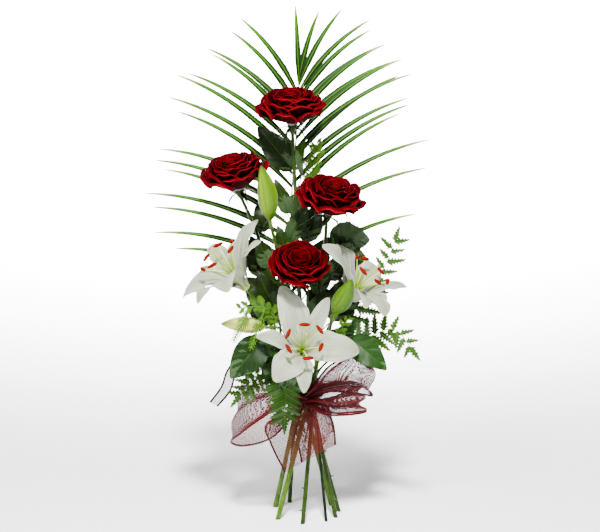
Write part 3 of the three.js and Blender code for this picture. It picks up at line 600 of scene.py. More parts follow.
def leaf_surface(spec, teeth):
    """A leaf from base to tip whose face looks along facing. Its edge is toothed and waved, its blade
    is puffed between the side veins, and the tip curls back a little."""
    foot = Vector(spec.base)
    reach = Vector(spec.tip) - foot
    side = reach.cross(Vector(spec.facing)).normalized()
    up = side.cross(reach).normalized()
    width, outline = spec.width, OUTLINES[spec.kind]
    fold = 0.18 if width > BROAD else 0.08
    seed = 7 * foot.x + 3 * foot.z

    def surface(u, v):
        bite, forwards = 1.0, 0
        if teeth:
            phase = (u * teeth) % 1
            bite = 1 - TOOTH_DEPTH * abs(v) ** 6 * (1 - phase) * smoothstep(0.02, 0.1, u)
            forwards = 0.6 * TOOTH_DEPTH * abs(v) ** 6 * phase
        half = width / 2 * outline(u) * bite
        puff = 0.012 * width * math.sin(math.pi * 9 * (u - 0.25 * abs(v))) * abs(v) * (1 - v * v) * 2
        late = 1.7 if v > 0 else 0
        wave = 0.05 * width * v * v * math.sin(9 * u + seed + late) * math.sin(math.pi * u)
        curl = -0.06 * width * max(0, u - 0.8) ** 2 * 25
        rise = spec.arch * 4 * u * (1 - u) + fold * half * abs(v) + puff + wave + curl
        return foot + reach * (u + forwards / max(reach.length, 1)) + up * rise + side * v * half

    return surface


def leaf(bm, stem, spec, shade=0.6):
    """A leaf, and its stalk down to the stem."""
    foot, teeth, grid = Vector(spec.base), 0, SMOOTH_GRID
    if spec.kind == "toothed":
        teeth = round((Vector(spec.tip) - foot).length / TOOTH_PITCH)
        grid = (teeth * ROWS_PER_TOOTH, TOOTHED_COLUMNS)
    surface = leaf_surface(spec, teeth)
    blade(bm, surface, grid, LEAF, shade)
    root = at_height(stem, spec.at)
    midrib = [surface(u, 0) for u in (0.08, 0.5, 0.9)]
    bend = smooth([root, root.lerp(foot, 0.55), foot, *midrib])
    tube(bm, samples(bend, 30), taper(1.1, 0.3), 6, STALK)

# %% [markdown]
# ## Rose petal finish, with painted shade
#
# A red rose's petal is a deep crimson velvet. Its light and shade are painted into its colour: a ramp from
# root to rim is nearly black deep in the bloom, as painted shade, and bright along the thin rim, as a
# painted highlight. A sheen lobe would grey it from the side, so the ramp does it instead, with almost no
# gloss.

# %%
# Keyed along V, from a petal's root to its rim: painted shade at the root, a painted highlight at the rim.
ROOT_SHADE_RIM_HIGHLIGHT = [(0.0, "#020001"), (0.5, "#120003"), (0.8, "#320006"), (0.95, "#4a0007"), (1.0, "#78000e")]


def rose_red_with_painted_shade():
    material, tree, uv, u, v = start("rose petal red with painted shade")
    # Painted shade deep in the bloom and a painted highlight on the rim, from the ramp.
    body = add(tree, "ValToRGB", [v], stops=ROOT_SHADE_RIM_HIGHLIGHT)
    veins = streaks(tree, uv, (26, 2.2, 1), 3.0, 3.0)
    body = tinted(tree, body, "#160003", veins, 0.4)
    mood = add(tree, "Mix", {0: add(tree, "Attribute", **TINT), 6: "#c8b8b8", 7: "#ffffff"}, **MIX)
    body = add(tree, "Mix", {0: 1.0, 6: body, 7: mood}, **MIX, blend_type="MULTIPLY")
    colour = tinted(tree, body, "#340207", add(tree, "Attribute", **UNDER), 0.45)
    finish_surface(tree, colour, 0.7, veins, 0.00025, specular=0.015)
    return material


ROSE_RED = rose_red_with_painted_shade()
print("finish:", ROSE_RED.name)

# %% [markdown]
# ## Roses
#
# An open rose holds its petals in a spiral, each a golden angle on from the last. The heart's wrap
# tight round each other, and the outer ones open, roll back at the rim and end in a blunt point. One
# petal copied on a circle would look like a daisy, so one rule is asked for each petal in turn, from
# the heart outwards, and small draws keep any two from matching.

# %%
ROSES = {
    "top": {
        "base": (-18, 12, 562), "axis": (-0.03, -0.16, 1), "spin": 10, "spread": 1,
        "via": [(-8, 22, 330), (-14, 16, 480)],
        "leaves": [
            Leaf(474, (-17, 34, 494), (-66, 44, 553), 44, (0.1, -1, 0.1)),
            Leaf(462, (-5, 10, 490), (1, -2, 546), 22, (-1, -0.8, 0.2), "lance"),
            Leaf(440, (-6, 28, 470), (-18, 32, 420), 22, (0.2, -1, 0.2), arch=2),
            Leaf(404, (-24, 10, 436), (-42, 6, 486), 24, (0.3, -1, 0)),
            Leaf(380, (-22, 16, 396), (2, 14, 446), 30, (-0.2, -1, 0)),
            Leaf(344, (-22, 14, 362), (-38, 12, 418), 32, (0.1, -1, 0.1)),
            Leaf(372, (0, 28, 392), (20, 32, 448), 38, (-0.1, -1, 0.1)),
            Leaf(330, (2, 28, 346), (34, 30, 398), 40, (0, -1, 0.1)),
            Leaf(318, (-22, 28, 330), (-62, 30, 300), 42, (0, -1, 0.2)),
            Leaf(306, (6, 28, 322), (40, 28, 290), 42, (0, -1, 0.2)),
        ],
    },
    "left": {
        "base": (-92, 8, 471), "axis": (-0.26, -0.2, 1), "spin": 55, "spread": 0.95,
        "via": [(-26, 12, 280), (-69, 17, 410)],
        "leaves": [
            Leaf(388, (-57, 18, 408), (-69, 28, 444), 28, (0.3, -1, 0)),
            Leaf(340, (-48, 0, 362), (-68, -8, 404), 32, (0.2, -1, 0.2)),
            Leaf(292, (-40, 2, 312), (-66, 0, 366), 34, (0.1, -1, 0)),
            Leaf(268, (-44, 6, 284), (-82, 0, 306), 36, (0.1, -1, 0.2)),
            Leaf(330, (-56, 22, 342), (-76, 26, 400), 42, (0, -1, 0.1)),
            Leaf(296, (-48, 20, 306), (-84, 26, 340), 46, (0, -1, 0.1)),
            Leaf(250, (-38, 6, 262), (-64, -6, 232), 38, (0, -1, 0.3)),
        ],
    },
    "right": {
        "base": (32, -5, 439), "axis": (0.2, -0.26, 1), "spin": 20, "spread": 1,
        "via": [(16, -4, 280), (27, -4, 380)],
        "leaves": [
            Leaf(366, (35, 30, 405), (92, 36, 391), 54, (0, -1, -0.15)),
            Leaf(322, (30, 6, 344), (62, 12, 378), 34, (0, -1, 0.1)),
            Leaf(340, (38, 28, 374), (90, 32, 362), 48, (0, -1, 0.1)),
            Leaf(296, (18, 4, 322), (22, 10, 384), 36, (0.1, -1, 0)),
            Leaf(262, (38, 12, 282), (70, 16, 352), 52, (0, -1, 0.1)),
            Leaf(250, (30, 14, 262), (62, 18, 236), 36, (0, -1, 0.3)),
        ],
    },
    "front": {
        "base": (-8, -42, 350), "axis": (0.04, -0.5, 1), "spin": 70, "spread": 0.35,
        "via": [(-10, -18, 250), (-9, -27, 310)],
        "leaves": [
            Leaf(262, (-36, -18, 288), (-66, -20, 360), 44, (0.2, -1, 0)),
            Leaf(272, (-16, -18, 294), (-38, -18, 338), 30, (0.1, -1, 0.1)),
            Leaf(266, (6, -22, 286), (26, -28, 334), 32, (-0.1, -1, 0.1)),
        ],
    },
}
print("rose leaves:", sum(len(spec["leaves"]) for spec in ROSES.values()))

# %%
PETALS = 66
GOLDEN = 137.5  # degrees from one petal to the next
HEART = 0.3  # petals up to this share of the spiral are the heart's
HEART_GRID, PETAL_GRID = (9, 16), (12, 14)
# Keyed from the heart, 0, to the outermost petal, 1.
RIM_RADIUS = [(0, 2.5), (0.25, 9), (0.5, 21), (0.75, 36), (1, 50)]
RIM_HEIGHT = [(0, 44), (0.35, 49), (0.6, 47), (0.8, 41), (1, 30)]
WIDTH_ANGLE = [(0, 100), (0.3, 78), (0.6, 50), (1, 38)]  # half the angle that a petal wraps
PETAL_ROLL = [(0, 0.5), (0.4, 2), (0.7, 5), (1, 8)]


def petal_surface(share, order, spread):
    """The petal at a share of the spiral. spread is how far the whole bloom has opened, from 0 to 1."""
    rim = keyed(RIM_RADIUS, share) * mix(mix(1, 0.78, share), 1, spread)
    opened = share**1.3 * mix(0.8, 1, spread)
    height = keyed(RIM_HEIGHT, share) + mix(9, 0, spread) * share
    height += mix(1.5, 9, share) * (draw(order) - 0.6)
    root_radius, root = mix(1.2, 6.2, min(1, 3 * share)), mix(16, 3, share)
    profile = [
        (root_radius, root),
        (mix(root_radius, rim, mix(0.9, 0.55, opened)), mix(root, height, 0.12)),
        (mix(root_radius, rim, mix(1.06, 0.86, opened)), mix(root, height, mix(0.75, 1.2, opened))),
        (rim, height),
    ]
    middle = math.radians(GOLDEN * order)
    wrap = math.radians(keyed(WIDTH_ANGLE, share) * (0.92 + 0.16 * draw(order + 50)))
    roll = keyed(PETAL_ROLL, share)
    lip = mix(0.8, 3.4, share) * (0.5 + 1.0 * draw(order + 90))
    point = mix(0.12, 0.34, share)

    def surface(u, v):
        radius, z = cubic(profile, u * (1 - point * abs(v) ** 1.7))
        edge = max(0, u - 0.8) / 0.2
        radius += lip * edge * edge * 0.6
        z -= lip * edge**3 * 0.9 + roll * u**4 * v * v
        z += mix(0.4, 1.3, share) * math.sin(7 * v + 6 * draw(order + 7)) * u**5
        fan = 0.34 + 0.66 * math.sin(math.pi / 2 * min(1, 1.25 * u))
        angle = middle + v * wrap * fan * (1 - 0.3 * u**3 * opened)
        reach = radius * (1 + mix(0.2, 0.1, share) * v * (1 - 0.35 * u))
        return Vector((reach * math.cos(angle), reach * math.sin(angle), z))

    return surface


def placed(spec, local):
    """A bloom's own surface, turned and moved to its place on the stem."""
    base, turn = Vector(spec["base"]), turn_of(spec["axis"], spec["spin"])
    return lambda u, v: base + turn @ local(u, v)


def rose_bloom(name, spec, seed):
    bm = blank()
    for k in range(PETALS):
        share = k / (PETALS - 1)
        petal = placed(spec, petal_surface(share, k + seed, spec["spread"]))
        grid = PETAL_GRID if share > HEART else HEART_GRID
        blade(bm, petal, grid, PETAL, 0.3 + 0.7 * draw(k + seed + 3))
    return piece(f"rose_{name}_petals", bm, ROSE_RED, f"rose_{name}_bloom", "rose_petal")

# %% [markdown]
# ## Hips, sepals and thorns
#
# Under the petals sit a round green hip and five sepals that hang down once the bloom is open, and
# a few thorns are left low on the stem. All of them grew with the stem, so they are poured into its
# mesh.

# %%
HIP_LENGTH = 12
HIP = [(0, 2.6), (0.5, 5.6), (0.75, 6.6), (0.95, 7.0), (1, 6.2)]
SEPALS = 5
SEPAL = [(5, -3.5), (17, -1), (24, -10)]
SEPAL_GRID = (14, 4)


def hip_and_sepals(bm, base, axis, spin):
    turn = turn_of(axis, spin)
    foot = base - axis * (HIP_LENGTH + 3)
    tube(bm, samples(lambda t: foot.lerp(base, t), 12), lambda t: keyed(HIP, t), 16, STALK)
    for k in range(SEPALS):
        way = Quaternion(UP, math.radians(360 / SEPALS * k + 20))
        profile = [*SEPAL, (21 + 6 * draw(k + spin), -21)]

        def sepal(u, v, way=way, profile=profile):
            radius, z = cubic(profile, u)
            half = v * (2.6 * (1 - u) ** 0.6 * math.sin(math.pi * mix(0.25, 1, u)) + 0.4)
            return base + turn @ (way @ Vector((radius, half, z - 0.5 * abs(v))))

        blade(bm, sepal, SEPAL_GRID, LEAF, 0.75)


THORNS = 3


def thorns(bm, path, seed):
    for k in range(THORNS):
        point, _ = along(path, 0.06 + 0.06 * (k + 0.5 * draw(seed + k)))
        way = math.radians(360 * draw(seed + k + 5))
        out = Vector((math.cos(way), math.sin(way), 0.15)).normalized()
        cone(bm, point + out * (ROSE_STEM - 1.2), point + out * (ROSE_STEM + 4.8), 1.7, STALK)


def rose_stem(name, spec, seed):
    bm = blank()
    base, axis = Vector(spec["base"]), Vector(spec["axis"]).normalized()
    path = stem_path(f"rose_{name}", FLOOR_CUT, [*spec["via"], base - axis * HIP_LENGTH])
    tube(bm, path, knotty(ROSE_STEM, 2.5, seed), 12, STALK, level=True)
    hip_and_sepals(bm, base, axis, spec["spin"])
    thorns(bm, path, seed)
    for k, one in enumerate(spec["leaves"]):
        leaf(bm, path, one, 0.4 + 0.5 * draw(seed + k))
    return piece(f"rose_{name}_stalk", bm, ROSE_GREEN, f"rose_{name}_stem", "rose_green")


for i, (name, spec) in enumerate(ROSES.items()):
    rose_bloom(name, spec, 10 * i)
    rose_stem(name, spec, 10 * i)
print("roses:", len(ROSES), "with", PETALS, "petals each")

# %% [markdown]
# ## Lily tepal finish
#
# A lily's tepal is satin: white and ribbed lengthwise, with a yellow-green groove that fades from the
# throat, and a touch of green at its tip. The grey streaks between its ribs and the grey-green down its
# hollow middle are painted shade. It lets a little light through, which one small share of subsurface
# gives.

# %%
# Keyed along V, from the throat to the tip: white is where the pattern shows.
GROOVE_FADE = [(0.0, "#ffffff"), (0.35, "#a8a8a8"), (0.68, "#202020"), (0.85, "#000000")]
THROAT_FADE = [(0.0, "#ffffff"), (0.16, "#3a3a3a"), (0.3, "#000000")]
TIP_FADE = [(0.955, "#000000"), (1.0, "#ffffff")]
THIN = {"Subsurface Weight": 0.04, "Subsurface Radius": (0.004, 0.004, 0.003), "Subsurface Scale": 1.0}


def lily_satin():
    material, tree, uv, u, v = start("lily tepal satin")
    ribs = streaks(tree, uv, (30, 1.2, 1), 2.0, 3.0)
    # Painted shade: grey streaks between the ribs.
    shade = add(tree, "Math", [ribs, 1.6, -0.4], operation="MULTIPLY_ADD")
    white = add(tree, "Mix", {0: shade, 6: "#aeb19e", 7: "#565c4c"}, **MIX)
    # Painted shade: grey-green down the tepal's hollow middle.
    white = tinted(tree, white, "#6c7058", middle_of(tree, u, 0.45), 0.4)
    rib = middle_of(tree, u, 0.2)
    groove = add(tree, "Math", [rib, 1.2], operation="POWER")
    white = tinted(tree, white, "#708c06", groove, add(tree, "ValToRGB", [v], stops=GROOVE_FADE))
    white = tinted(tree, white, "#9fb82c", add(tree, "ValToRGB", [v], stops=THROAT_FADE), 0.9)
    white = tinted(tree, white, "#a9b36a", add(tree, "ValToRGB", [v], stops=TIP_FADE), 0.6)
    back = add(tree, "Math", [rib, 0.5], operation="MULTIPLY")
    colour = tinted(tree, white, "#c2cd95", add(tree, "Attribute", **UNDER), back)
    finish_surface(tree, colour, 0.42, ribs, 0.0008, more=THIN)
    return material


LILY_WHITE = lily_satin()
print("finish:", LILY_WHITE.name)

# %% [markdown]
# ## Stamen and bud finishes
#
# Stamens are three things in one mesh: pale green filaments, a dull stigma, and anthers caked in
# rust-orange pollen, whose grains are drawn larger than life, or they wouldn't show. The tint tells them
# apart. A bud is pale along its ridges and deeper in colour at both ends, and the darker colour in its
# furrows is painted shade. A bud that stands in shade gets painted shade as well: its tint turns it
# further to the deep colour.

# %%
FILAMENT_TINT, STIGMA_TINT, POLLEN_TINT = 0.0, 0.5, 1.0
FILAMENT = [(0.0, "#688c00"), (0.6, "#94b010"), (1.0, "#c8d468")]
BUD_ENDS = [(0.0, "#ffffff"), (0.2, "#000000"), (0.86, "#000000"), (1.0, "#ffffff")]


def stamen_finish():
    material, tree, uv, u, v = start("lily filament and pollen")
    place = add(tree, "TexCoord", out="Object")
    grains = add(tree, "TexNoise", {"Vector": place, "Scale": 900.0, "Detail": 2.0})
    pollen = add(tree, "Mix", {0: grains, 6: "#3c0600", 7: "#741300"}, **MIX)
    pale = add(tree, "ValToRGB", [v], stops=FILAMENT)
    tint = add(tree, "Attribute", **TINT)
    stigma = add(tree, "Math", [tint, 0.25], operation="GREATER_THAN")
    colour = add(tree, "Mix", {0: stigma, 6: pale, 7: "#8d8a5a"}, **MIX)
    anther = add(tree, "Math", [tint, 0.75], operation="GREATER_THAN")
    colour = add(tree, "Mix", {0: anther, 6: colour, 7: pollen}, **MIX)
    finish_surface(tree, colour, 0.7, grains, 0.0003, specular=0.04)
    return material


def furrowed_bud(name, pale, full, ends):
    material, tree, uv, u, v = start(name)
    turn = add(tree, "Math", [u, 6 * math.pi, math.pi / 2], operation="MULTIPLY_ADD")
    waves = add(tree, "Math", [turn], operation="SINE")
    # Painted shade in the bud's three furrows.
    furrow_shade = add(tree, "Math", [waves, -0.5, 0.5], operation="MULTIPLY_ADD")
    furrow_shade = add(tree, "Math", [furrow_shade, 0.6], operation="MULTIPLY")
    fine = streaks(tree, uv, (60, 1.5, 1), 1.0, 3.0)
    shade = add(tree, "Math", [fine, 0.4, furrow_shade], operation="MULTIPLY_ADD")
    colour = add(tree, "Mix", {0: shade, 6: full, 7: pale}, **MIX)
    colour = tinted(tree, colour, ends, add(tree, "ValToRGB", [v], stops=BUD_ENDS), 0.75)
    # Painted shade: the tint darkens a bud that stands in shade towards the deep colour.
    colour = add(tree, "Mix", {0: add(tree, "Attribute", **TINT), 6: colour, 7: full}, **MIX)
    finish_surface(tree, colour, 0.4, fine, 0.0003)
    return material


STAMEN = stamen_finish()
BUD_LIME = furrowed_bud("lily bud lime", "#627b00", "#264a00", "#0d2e00")
BUD_CREAM = furrowed_bud("lily bud cream", "#cac776", "#889720", "#4c6e03")
print("finishes:", STAMEN.name, BUD_LIME.name, BUD_CREAM.name)

# %% [markdown]
# ## Lilies
#
# A lily has six tepals in two rings of three, a broad inner ring in front of a narrow outer one.
# Each arches out and back from the throat, waves along both edges and is grooved down the middle.
# The same surface makes all eighteen, and each lily names only how its own tepals differ.

# %%
LILIES = {
    "front": {
        "base": (-6, -62, 252), "axis": (0.1, -0.83, 0.56), "spin": 64, "size": 0.95, "open": 0.55,
        "inner": [(-12, 1.3, 0.92, 4), (-9, 0.9, 0.98, -4), (-3, 1.1, 1, -4)],
        "outer": [(3, 1.05, 0.85, 0), (-15, 0.85, 0.8, 0), (-30, 0.85, 0.9, 0)],
        "via": [(-6, -42, 228)], "leaves": [],
    },
    "left": {
        "base": (-80, -36, 338), "axis": (-0.6, -0.21, 0.77), "spin": 106, "size": 1.08, "open": 0.4,
        "inner": [(6, 1.05, 1.1, 0), (-15, 1.15, 0.8, 4), (-3, 1.1, 0.95, 8)],
        "outer": [(-3, 1.05, 0.9, 8), (-3, 0.85, 1, 12), (0, 0.75, 0.9, 8)],
        "via": [(-29, 2, 240), (-58, -14, 300)],
        "leaves": [
            Leaf(262, (-44, -24, 292), (-76, -44, 330), 24, (0, -1, 0), "lance"),
        ],
    },
    "right": {
        "base": (56, -24, 316), "axis": (0.58, -0.22, 0.79), "spin": 21, "size": 1, "open": 0.4,
        "inner": [(-3, 0.97, 0.75, 4), (-18, 1.1, 1.1, 12), (-9, 0.9, 1.1, -4)],
        "outer": [(15, 1.05, 0.7, 12), (-12, 1, 1, 11), (14, 0.95, 0.9, 2)],
        "via": [(18, -14, 232), (36, -24, 286)],
        "leaves": [
            Leaf(236, (30, -34, 252), (66, -50, 296), 15, (0, -1, 0.3), "lance"),
        ],
    },
}
# Three broad inner tepals and, behind them, three narrower ones: their turn, width, reach, and how
# far behind the inner ones they stand. Each lily names for every tepal its own swing in degrees, how
# much longer and wider it is than that, and how much higher its tip stands.
TEPALS = {"inner": (60, 46, 84, 0), "outer": (0, 29, 88, 5.5)}
THROAT = 3.4

# %%
TEPAL_GRID = (34, 26)


def tepal_surface(kind, which, spec):
    """One of a ring's three tepals, on the lily's own axis."""
    turn, width, reach, behind = TEPALS[kind]
    swing, longer, wider, rise = spec[kind][which]
    size, opened = spec["size"], spec["open"]
    way = math.radians(120 * which + turn + swing)
    reach *= longer
    rise -= 10 * draw(which + turn)
    tip = (mix(0.74 * reach, reach, opened), mix(66, 32, opened) + rise)
    profile = [(4, 1.5), (7, 28), (mix(0.36, 0.5, opened) * reach, 60), tip]
    phase = 6 * draw(which + 11)
    c, s = math.cos(way), math.sin(way)

    def surface(u, v):
        radius, z = cubic(profile, u)
        body = 0.12 + 0.88 * max(0, math.sin(math.pi * u**1.45)) ** 0.75
        lift = math.sin(math.pi * u)
        scallop = 1 + 0.09 * math.sin(10 * u + phase + (2.1 if v > 0 else 0)) * lift
        half = max(width / 2 * wider * body * scallop, 0.5 / size)
        trough = 0.2 * half * v * v * (1 - 1.6 * u)
        late = 1.4 if v > 0 else 0
        wave = 4.2 * v * v * math.sin(11 * u + phase + late) * lift
        ruffle = 1.3 * v**4 * math.sin(29 * u + 2 * phase + late) * lift
        groove = -1.3 * math.exp(-((v / 0.09) ** 2)) * lift * (1 - 0.6 * u)
        shoulder = 0.5 * math.exp(-(((abs(v) - 0.2) / 0.12) ** 2)) * lift
        wrap = (v * half) ** 2 / (2 * radius) * max(0, 1 - 1.6 * u)
        back = behind * min(1, 3 * u)
        out = radius - wrap + 0.35 * back + (1.4 if behind else 0)
        side = v * half
        curl = 9 * smoothstep(0.72, 1.1, u) ** 2
        high = z + trough + wave + ruffle + groove + shoulder - back - curl
        return Vector((out * c - side * s, out * s + side * c, high)) * size

    return surface


def lily_tepals(name, spec):
    bm = blank()
    base, turn, size = Vector(spec["base"]), turn_of(spec["axis"], spec["spin"]), spec["size"]
    for kind in ("outer", "inner"):
        for which in range(3):
            blade(bm, placed(spec, tepal_surface(kind, which, spec)), TEPAL_GRID, TEPAL)
    foot = samples(lambda t: base + turn @ Vector((0, 0, mix(FIT, THROAT, t))), 4)
    tube(bm, foot, lambda t: mix(3.4, 6.6, t) * size, 18)
    return piece(f"lily_{name}_flower", bm, LILY_WHITE, f"lily_{name}_tepals", "lily_tepal")

# %% [markdown]
# ## Stamens
#
# Six thin filaments bow out from the throat, each with an anther lying across its tip, round one
# pistil with a blunt stigma. They are thin tubes and stretched balls, and a low ring joins them.

# %%
STAMENS = 6
ANTHER = (8, 2.7, 2.7)  # half its length, and its girth
STIGMA = (2.6, 2.6, 1.7)
FILAMENT_RUNS = 20


def lily_stamens(name, spec):
    bm = blank()
    base, turn, size = Vector(spec["base"]), turn_of(spec["axis"], spec["spin"]), spec["size"]
    disc = THROAT + FIT

    def put(points):
        return samples(smooth([base + turn @ Vector(p) for p in points]), FILAMENT_RUNS)

    ring = put([(0, 0, disc), (0, 0, disc + 1.2), (0, 0, disc + 2.4)])
    tube(bm, ring, lambda t: 1.7, 12, FILAMENT_TINT)
    pistil = put([(0, 0, disc + 1), (1, 0.5, 36 * size), (4.6, 1.8, 70 * size), (5, 2, 74 * size)])
    tube(bm, pistil, lambda t: mix(1.1, 1.0, t) + 0.6 * smoothstep(0.9, 0.98, t), 10, FILAMENT_TINT)
    ball(bm, pistil[-1], STIGMA, turn, STIGMA_TINT)
    for k in range(STAMENS):
        way = math.radians(360 / STAMENS * k + 30 + 8 * draw(k))
        out = Vector((math.cos(way), math.sin(way), 0))
        tip = out * (24 + 6 * draw(k + 20)) * size
        tip.z = (62 + 5 * draw(k + 30)) * size
        bend = out * 5.5
        bend.z = 32 * size
        filament = put([out + Vector((0, 0, disc + 1)), bend, tip])
        tube(bm, filament, taper(1.2, 0.8), 8, FILAMENT_TINT)
        lie = turn @ Quaternion(UP, way + math.pi / 2) @ Quaternion((0, 1, 0), 0.5 * (draw(k + 40) - 0.5))
        ball(bm, base + turn @ tip, ANTHER, lie, POLLEN_TINT, 16)
    return piece(f"lily_{name}_anthers", bm, STAMEN, f"lily_{name}_stamens", "lily_stamen")

# %% [markdown]
# ## Buds and lily stems
#
# A bud is the same six tepals still folded together: a spindle with three furrows between them. Its
# stalk grew from a lily's stem, so that stem carries it.

# %%
BUDS = {
    "upright": {
        "on": "left", "at": 250, "via": [(-36, -6, 300), (-38, -6, 376)],
        "base": (-48, -34, 436), "tip": (-60, -46, 514), "girth": 14, "slot": "bud_green",
    },
    "right": {
        # The right bud stands in shade, so painted shade darkens it.
        "on": "right", "at": 244, "via": [(34, -50, 284)],
        "base": (40, -82, 317), "tip": (63, -111, 370), "girth": 13.5, "slot": "bud_green", "painted_shade": 0.6,
    },
    "left": {
        "on": "left", "at": 236, "via": [(-40, -30, 266)],
        "base": (-56, -52, 288), "tip": (-116, -64, 296), "girth": 11.5, "slot": "bud_cream",
    },
}
BUD_NECK = 9
BUD_RUNS, BUD_SIDES = 36, 48


def bud(name, spec):
    """Three pairs of folded tepals: a spindle with three furrows and a raised rib on each tepal."""
    bm = blank()
    foot, tip = Vector(spec["base"]), Vector(spec["tip"])
    axis = tip - foot
    bow = Vector((axis.z, 0, -axis.x)).normalized() * axis.length * 0.03
    path = samples(smooth([foot, foot.lerp(tip, 0.5) + bow, tip]), BUD_RUNS)

    def girth(t):
        body = 0.16 + 0.84 * max(0, math.sin(math.pi * t**0.78)) ** 0.95
        return spec["girth"] * body * mix(1, 0.45, smoothstep(0.93, 1, t))

    def lobe(angle, t):
        furrow = 0.2 * max(0, math.cos(3 * angle)) ** 8
        rib = 0.03 * max(0, -math.cos(3 * angle)) ** 8
        return 1 - (furrow - rib) * math.sin(math.pi * t) ** 0.5

    tube(bm, path, girth, BUD_SIDES, spec.get("painted_shade", 0), lobe)
    finish = BUD_CREAM if spec["slot"] == "bud_cream" else BUD_LIME
    return piece(f"bud_{name}_folded", bm, finish, f"bud_{name}", spec["slot"])


def pedicel(bm, stem, spec):
    """A bud's stalk."""
    foot, tip = Vector(spec["base"]), Vector(spec["tip"])
    axis = (tip - foot).normalized()
    neck = [foot - axis * BUD_NECK, foot - axis * 2 * FIT]
    bend = smooth([at_height(stem, spec["at"]), *spec["via"], *neck])
    tube(bm, samples(bend, 30), taper(PEDICEL, PEDICEL + 0.6), 10, STALK)


def lily_stem(name, spec, seed):
    bm = blank()
    base, axis = Vector(spec["base"]), Vector(spec["axis"]).normalized()
    path = stem_path(f"lily_{name}", FLOOR_CUT, [*spec["via"], base - axis * FIT])
    swell = knotty(1, 1, seed)
    tube(bm, path, lambda t: mix(LILY_STEM, PEDICEL + 0.4, t**2) * swell(t), 14, STALK, level=True)
    for one in BUDS.values():
        if one["on"] == name:
            pedicel(bm, path, one)
    for one in spec["leaves"]:
        leaf(bm, path, one)
    return piece(f"lily_{name}_stalk", bm, LILY_GREEN, f"lily_{name}_stem", "lily_green")


for i, (name, spec) in enumerate(LILIES.items()):
    lily_tepals(name, spec)
    lily_stamens(name, spec)
    lily_stem(name, spec, 40 + 10 * i)
for name, spec in BUDS.items():
    bud(name, spec)
print("lilies:", len(LILIES), "buds:", len(BUDS))

# %% [markdown]
# ## Palm frond
#
# The frond stands behind the flowers as a fan of long narrow leaflets, each ribbed lengthwise, dark
# along its edges and dry at its tip. Leaflets copied at one angle would make a comb, so their length
# and lean are keyed up the stalk, and draws bend them a little off it.

# %%
# Keyed along V, from a leaflet's root to its tip.
PALM_SHADE = [(0.0, "#404040"), (0.45, "#9a9a9a"), (0.8, "#ffffff")]
PALM_DRY = [(0.82, "#000000"), (1.0, "#ffffff")]


def ribbed_palm():
    material, tree, uv, u, v = start("palm leaflet ribbed")
    ribs = streaks(tree, uv, (40, 0.7, 1))
    green = add(tree, "Mix", {0: ribs, 6: "#0a2e00", 7: "#2a6000"}, **MIX)
    shade = add(tree, "ValToRGB", [v], stops=PALM_SHADE)
    green = add(tree, "Mix", {0: 1.0, 6: green, 7: shade}, **MIX, blend_type="MULTIPLY")
    edge = add(tree, "Math", [1.0, middle_of(tree, u, 0.5)], operation="SUBTRACT")
    edge = add(tree, "Math", [edge, 4.0], operation="POWER")
    green = tinted(tree, green, "#0e2606", edge, 0.6)
    green = tinted(tree, green, "#5c9408", middle_of(tree, u, 0.08), 0.4)
    dry = add(tree, "ValToRGB", [v], stops=PALM_DRY)
    colour = tinted(tree, green, "#b9a45a", dry, add(tree, "Attribute", **TINT))
    finish_surface(tree, colour, 0.45, ribs, 0.0002, specular=0.12)
    return material


PALM_GREEN = ribbed_palm()

# %%
PALM = {
    "via": [(-14, 38, 300), (-20, 60, 420), (-12, 74, 540), (-8, 78, 624)],
    "low": 0.55, "pairs": 15, "rise": 15, "width": 10,
}
# Keyed from the lowest leaflet, 0, to the top one, 1: how long, and how far out from upright.
PALM_LENGTH = [(0, 184), (0.3, 210), (0.55, 200), (0.75, 168), (0.9, 140), (1, 102)]
PALM_LEAN = {
    -1: [(0, 77), (0.35, 68), (0.55, 54), (0.8, 48), (0.93, 34), (1, 5)],
    1: [(0, 64), (0.2, 66), (0.4, 55), (0.8, 52), (0.93, 41), (1, 17)],
}
PALM_BUNCHING = {-1: 1, 1: 0.6}  # under 1, that side's leaflets crowd towards the top
LEAFLET_GRID = (30, 4)


def palm_leaflet(bm, root, side, share, seed):
    length = keyed(PALM_LENGTH, share) * (0.93 + 0.14 * draw(seed))
    lean = keyed(PALM_LEAN[side], share) + 8 * (draw(seed + 60) - 0.5)
    sway = 0.16 * (draw(seed + 30) - 0.5)

    def towards(degrees):
        return Vector((side * math.sin(math.radians(degrees)), sway, math.cos(math.radians(degrees))))

    rise = PALM["rise"] * min(1, lean / 45)
    knee = root + towards(lean - rise) * length * 0.55
    tip = root + towards(lean) * length
    across = (tip - root).cross(FRONT).normalized()

    def surface(u, v):
        spine = root * (1 - u) ** 2 + knee * 2 * u * (1 - u) + tip * u * u
        half = PALM["width"] / 2 * min(1, 0.3 + 2.4 * u) * max(0, 1 - u) ** 0.6 + 0.4
        return spine + across * v * half + FRONT * (0.9 - 1.8 * abs(v)) * half / 4

    blade(bm, surface, LEAFLET_GRID, LEAF, draw(seed + 11))


def palm():
    bm = blank()
    stalk = stem_path("palm", FLOOR_CUT, PALM["via"])
    tube(bm, stalk, taper(PALM_STEM, 0.9), 10, 0, level=True)
    for k in range(PALM["pairs"] + 1):
        share = k / PALM["pairs"]
        for side in SIDES:
            place = share ** PALM_BUNCHING[side]
            point, _ = along(stalk, mix(PALM["low"], 0.98, place) + (0.012 if side > 0 else 0))
            palm_leaflet(bm, point, side, place, 2 * k + side)
    return piece("palm_leaflets", bm, PALM_GREEN, "palm_frond", "palm_leaf")


palm()
print("palm leaflets:", 2 * (PALM["pairs"] + 1))

# %% [markdown]
# ## Ferns
#
# A leatherleaf frond carries pinnae to both sides of its rib, shorter towards the tip, and each
# pinna is toothed along both edges. Cutting every lobe as a blade of its own would cost many times
# the faces, so a pinna is one tapering blade whose width rises and falls with its teeth.

